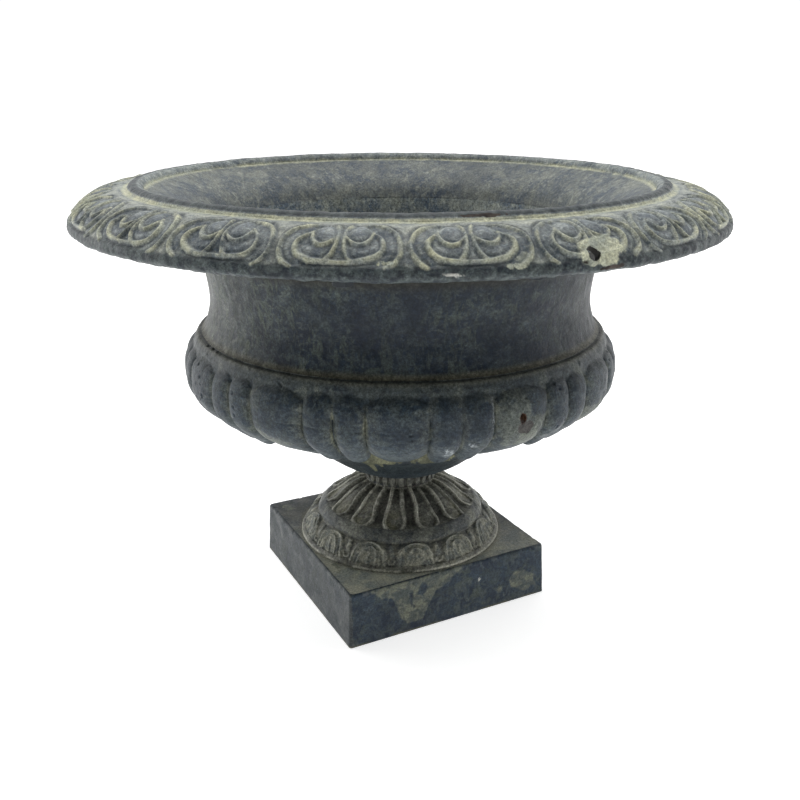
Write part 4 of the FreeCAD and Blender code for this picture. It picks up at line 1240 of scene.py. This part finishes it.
def mat_bowl():
    n, col, k = paint("bowl_paint", srgb(25, 37, 49), srgb(47, 59, 68), srgb(92, 101, 101), srgb(92, 97, 86),
                      (230.0, 230.0, 110.0), (0.36, 0.26, 0.42), 0.28)
    col = lay(n, col, n.attr("shoulder"), 0.62, srgb(50, 57, 60), srgb(72, 77, 73), k["patch"])
    col = lay(n, col, n.attr("core"), 0.50, srgb(26, 37, 49), srgb(46, 57, 64), k["dab"])
    col = lay(n, col, n.attr("lower"), 0.42, srgb(60, 70, 76), srgb(92, 99, 101), k["patch"])
    col = lay(n, col, n.attr("flank"), 0.22, srgb(58, 64, 62), srgb(98, 100, 86), k["dab"])
    # painted shade on the far left lobes
    col = lay(n, col, n.attr("far"), 0.34, srgb(24, 34, 42))
    # painted shade under the overhanging lobes, over the cup's dark paint
    col = lay(n, col, n.attr("cup"), 0.85, srgb(19, 27, 32), srgb(43, 51, 53), k["dab"])
    col = lay(n, col, n.attr("stem"), 0.72, srgb(74, 74, 68), srgb(120, 120, 108), k["dab"])
    col = n.mix(n.math("MULTIPLY", ragged(n, n.attr("valley"), n.math("ADD", n.math("MULTIPLY", k["dab"], 0.5), n.math("MULTIPLY", k["wash"], 0.5)), 2.2, 0.50, 1.05), 0.36), col,
                n.mix(k["patch"], srgb(90, 94, 84), srgb(132, 134, 118)))
    col = n.mix(n.math("MULTIPLY", ragged(n, n.attr("streak"), k["dab"], 1.6, 0.40, 0.95), 0.62), col,
                n.mix(k["patch"], srgb(104, 107, 93), srgb(142, 143, 124)))
    col = n.mix(n.math("MULTIPLY", ragged(n, n.attr("olive"), k["dab"], 1.25, 0.16, 0.92), 0.72), col,
                n.mix(k["patch"], srgb(94, 100, 92), srgb(124, 128, 114)))
    col = n.mix(n.math("MULTIPLY", ragged(n, n.attr("drip"), k["dab"], 0.45, 0.47, 0.53), 0.9), col,
                n.mix(n.ramp(k["patch"], [(0.40, 0.0), (0.60, 1.0)]), srgb(74, 76, 59), srgb(106, 107, 84)))
    # painted light on the bowl's shaded lip
    col = lay(n, col, n.attr("edge"), 0.50, srgb(84, 85, 74), srgb(112, 112, 96), k["dab"])
    col = n.mix(n.math("MULTIPLY", ragged(n, n.attr("sore"), k["dab"], 0.5, 0.34, 0.55), 0.90), col,
                n.mix(k["dab"], srgb(46, 43, 42), srgb(70, 66, 64)))
    wh = n.math("MULTIPLY", n.attr("white"), n.ramp(n.noise(k["obj"], 260.0, 5.0, 0.75), [(0.42, 0.0), (0.58, 1.0)]))
    col = n.mix(n.math("MULTIPLY", wh, 0.70), col, srgb(170, 177, 180))
    col = lay(n, col, n.attr("cut"), 1.0, srgb(60, 42, 33), srgb(96, 70, 54), k["dab"])
    return finish_paint(n, col, k, n.attr("rust"), speckle=1.17)


def mat_socle():
    n, col, k = paint("socle_paint", srgb(82, 83, 77), srgb(112, 113, 103), srgb(160, 161, 150), srgb(128, 126, 104),
                      (300.0, 300.0, 140.0), (0.45, 0.25, 0.40), 0.18)
    col = lay(n, col, n.attr("torus"), 0.66, srgb(58, 66, 71), srgb(118, 121, 111), k["patch"])
    col = lay(n, col, n.attr("leaf"), 0.60, srgb(96, 104, 105), srgb(160, 160, 142), k["dab"])
    # painted shade in the socle's recesses
    col = lay(n, col, n.attr("recess_shade"), 0.60, srgb(44, 44, 41), srgb(72, 72, 66), k["dab"])
    col = lay(n, col, n.attr("olive"), 0.50, srgb(110, 108, 84), srgb(136, 134, 108), k["dab"])
    col = lay(n, col, n.attr("ridge"), 0.60, srgb(138, 140, 128), srgb(186, 186, 172), k["dab"])
    # painted highlight on the left edges of the petal outlines
    col = lay(n, col, n.attr("left_ridge_highlight"), 0.70, srgb(200, 200, 184))
    # painted highlight along the foot's top edge
    col = lay(n, col, n.attr("edge"), 0.85, srgb(204, 204, 188))
    return finish_paint(n, col, k, n.attr("rust"))


def mat_plinth():
    n, col, k = paint("plinth_paint", srgb(25, 39, 55), srgb(45, 59, 72), srgb(82, 92, 97), srgb(86, 93, 83),
                      (90.0, 90.0, 120.0), (0.24, 0.30, 0.62), 0.32)
    col = lay(n, col, n.attr("flat"), 0.62, srgb(66, 71, 70), srgb(96, 96, 84), k["patch"])
    # painted light on the front of the top under the bowl
    col = lay(n, col, n.attr("near"), 0.90, srgb(138, 145, 139), srgb(176, 176, 158), k["patch"])
    # left face: paint tone with painted light from the left
    col = lay(n, col, n.attr("left"), 0.62, srgb(60, 65, 66), srgb(86, 88, 85), k["patch"])
    glaze = ragged(n, n.attr("glaze"), n.math("ADD", n.math("MULTIPLY", k["dab"], 0.55), n.math("MULTIPLY", k["cross"], 0.45)),
                   0.40, 0.47, 0.56)
    tone = n.mix(n.ramp(k["strokes"], [(0.40, 0.0), (0.60, 1.0)]), srgb(84, 91, 84), srgb(116, 119, 104))
    col = n.mix(n.math("MULTIPLY", glaze, n.ramp(k["hair"], [(0.0, 0.62), (0.8, 0.92)])), col, tone)
    col = lay(n, col, n.attr("foot"), 0.70, srgb(104, 102, 78))
    col = lay(n, col, n.attr("ring"), 0.45, srgb(118, 115, 98))
    col = lay(n, col, n.attr("edge"), 0.35, srgb(112, 117, 114))
    col = lay(n, col, n.attr("white"), 0.9, CHALK)
    return finish_paint(n, col, k, n.attr("rust"), speckle=0.75)


def mat_steel(name="rusted_steel", brown=(srgb(58, 42, 35), srgb(100, 74, 57)), bare=srgb(92, 90, 88)):
    n = Net(name)
    obj = n.obj()
    a = n.noise(obj, 220.0, 6.0, 0.65, 0.5)
    b = n.noise(obj, 60.0, 4.0, 0.6)
    col = n.mix(n.ramp(a, [(0.35, 0.0), (0.65, 1.0)]), *brown)
    metal = n.ramp(b, [(0.52, 0.0), (0.70, 1.0)])
    col = n.mix(n.math("MULTIPLY", metal, 0.7), col, bare)
    n.link(col, n.bsdf.inputs["Base Color"])
    n.link(n.math("MULTIPLY", metal, 0.6 if name == "rusted_steel" else 0.0), n.bsdf.inputs["Metallic"])
    n.link(n.ramp(a, [(0.3, 0.55), (0.7, 0.9)]), n.bsdf.inputs["Roughness"])
    n.link(n.bump(a, 0.5, 0.0006), n.bsdf.inputs["Normal"])
    return n.mat


# -------------------------------------------------------------------- assemble
def place(ob, node, mat):
    ob.data.materials.clear()
    ob.data.materials.append(mat)
    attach(ob, "root")
    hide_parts(node)


place(build_rim(), "rim", mat_rim())
place(build_neck(), "neck_drum", mat_neck())
place(build_bowl(), "gadrooned_bowl", mat_bowl())
place(build_socle(), "socle", mat_socle())
place(build_plinth(), "plinth", mat_plinth())

steel = mat_steel()
painted = mat_steel("painted_steel", (srgb(26, 32, 40), srgb(52, 58, 60)), srgb(40, 46, 52))
for node in ("tie_rod", "clamp_plate", "rod_washer_upper", "rod_nut_upper", "rod_washer_lower", "rod_nut_lower",
             "neck_bolts", "neck_bolt_washers", "neck_nut_washers", "neck_nuts", "rim_bolts", "rim_bolt_washers"):
    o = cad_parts[node]
    coat = painted if node.startswith("rim_") else steel
    if not o.material_slots:
        o.data.materials.append(coat)
    for sl in o.material_slots:
        sl.material = coat

# ----------------------------------------------------------------- studio, camera
floor_me = bpy.data.meshes.new("floor")
L = 30.0
floor_me.from_pydata([(-L, -L, 0), (L, -L, 0), (L, L, 0), (-L, L, 0)], [], [(0, 1, 2, 3)])
floor = add_object("floor", floor_me)
fm = Net("floor_paper")
fm.bsdf.inputs["Base Color"].default_value = (0.93, 0.93, 0.92, 1)
fm.bsdf.inputs["Roughness"].default_value = 0.85
fm.bsdf.inputs["Specular IOR Level"].default_value = 0.1
fm.bsdf.inputs["Emission Color"].default_value = (1, 1, 1, 1)
fm.bsdf.inputs["Emission Strength"].default_value = 0.70
floor_me.materials.append(fm.mat)

AZ = -27.53 * D2R
VIEW = Vector((-math.sin(AZ), math.cos(AZ), 0))        # the way the camera looks, level
RIGHT = Vector((math.cos(AZ), math.sin(AZ), 0))


def lamp(name, at, aim, size, power, color=(1, 1, 1)):
    li = bpy.data.lights.new(name, "AREA")
    li.shape = "RECTANGLE"
    li.size, li.size_y = size
    li.energy = power
    li.color = color
    ob = bpy.data.objects.new(name, li)
    bpy.context.scene.collection.objects.link(ob)
    ob.location = at
    ob.rotation_mode = "QUATERNION"
    ob.rotation_quaternion = (Vector(aim) - Vector(at)).to_track_quat("-Z", "Y")
    return ob


mid = Vector((0, 0, 0.2))
lamp("top_softbox", VIEW * 0.25 + Vector((0, 0, 1.9)), mid, (1.6, 1.6), 22.0)
lamp("left_softbox", -RIGHT * 1.7 + VIEW * 0.55 + Vector((0, 0, 0.75)), mid, (1.2, 1.4), 9.8)
lamp("right_softbox", RIGHT * 1.8 + VIEW * 0.55 + Vector((0, 0, 0.75)), mid, (1.2, 1.4), 5.0)

world = bpy.context.scene.world or bpy.data.worlds.new("studio")
bpy.context.scene.world = world
world.use_nodes = True
wt = world.node_tree
wt.nodes.clear()
wo = wt.nodes.new("ShaderNodeOutputWorld")
bg = wt.nodes.new("ShaderNodeBackground")
tc = wt.nodes.new("ShaderNodeTexCoord")
dot = wt.nodes.new("ShaderNodeVectorMath")
dot.operation = "DOT_PRODUCT"
dot.inputs[1].default_value = tuple(VIEW)
wt.links.new(tc.outputs["Generated"], dot.inputs[0])
wr = wt.nodes.new("ShaderNodeValToRGB")
wr.color_ramp.elements[0].position = 0.25
wr.color_ramp.elements[0].color = (0.10, 0.10, 0.105, 1)
wr.color_ramp.elements[1].position = 0.75
wr.color_ramp.elements[1].color = (1, 1, 1, 1)
mp = wt.nodes.new("ShaderNodeMath")
mp.operation = "MULTIPLY_ADD"
mp.inputs[1].default_value = 0.5
mp.inputs[2].default_value = 0.5
wt.links.new(dot.outputs["Value"], mp.inputs[0])
wt.links.new(mp.outputs[0], wr.inputs[0])
wt.links.new(wr.outputs[0], bg.inputs["Color"])
bg.inputs["Strength"].default_value = 1.05
wt.links.new(bg.outputs[0], wo.inputs[0])

cam_d = bpy.data.cameras.new("camera")
cam_d.lens = 41.38
cam_d.sensor_width = 36.0
cam = bpy.data.objects.new("camera", cam_d)
bpy.context.scene.collection.objects.link(cam)
cam.location = -VIEW * 0.73645 + Vector((0, 0, 0.4286))
PITCH = 19.83 * D2R
look = VIEW * math.cos(PITCH) + Vector((0, 0, -math.sin(PITCH)))
cam.rotation_mode = "QUATERNION"
cam.rotation_quaternion = look.to_track_quat("-Z", "Y")
cam_d.clip_start, cam_d.clip_end = 0.01, 100
bpy.context.scene.camera = cam
bpy.context.scene.view_settings.view_transform = "Standard"
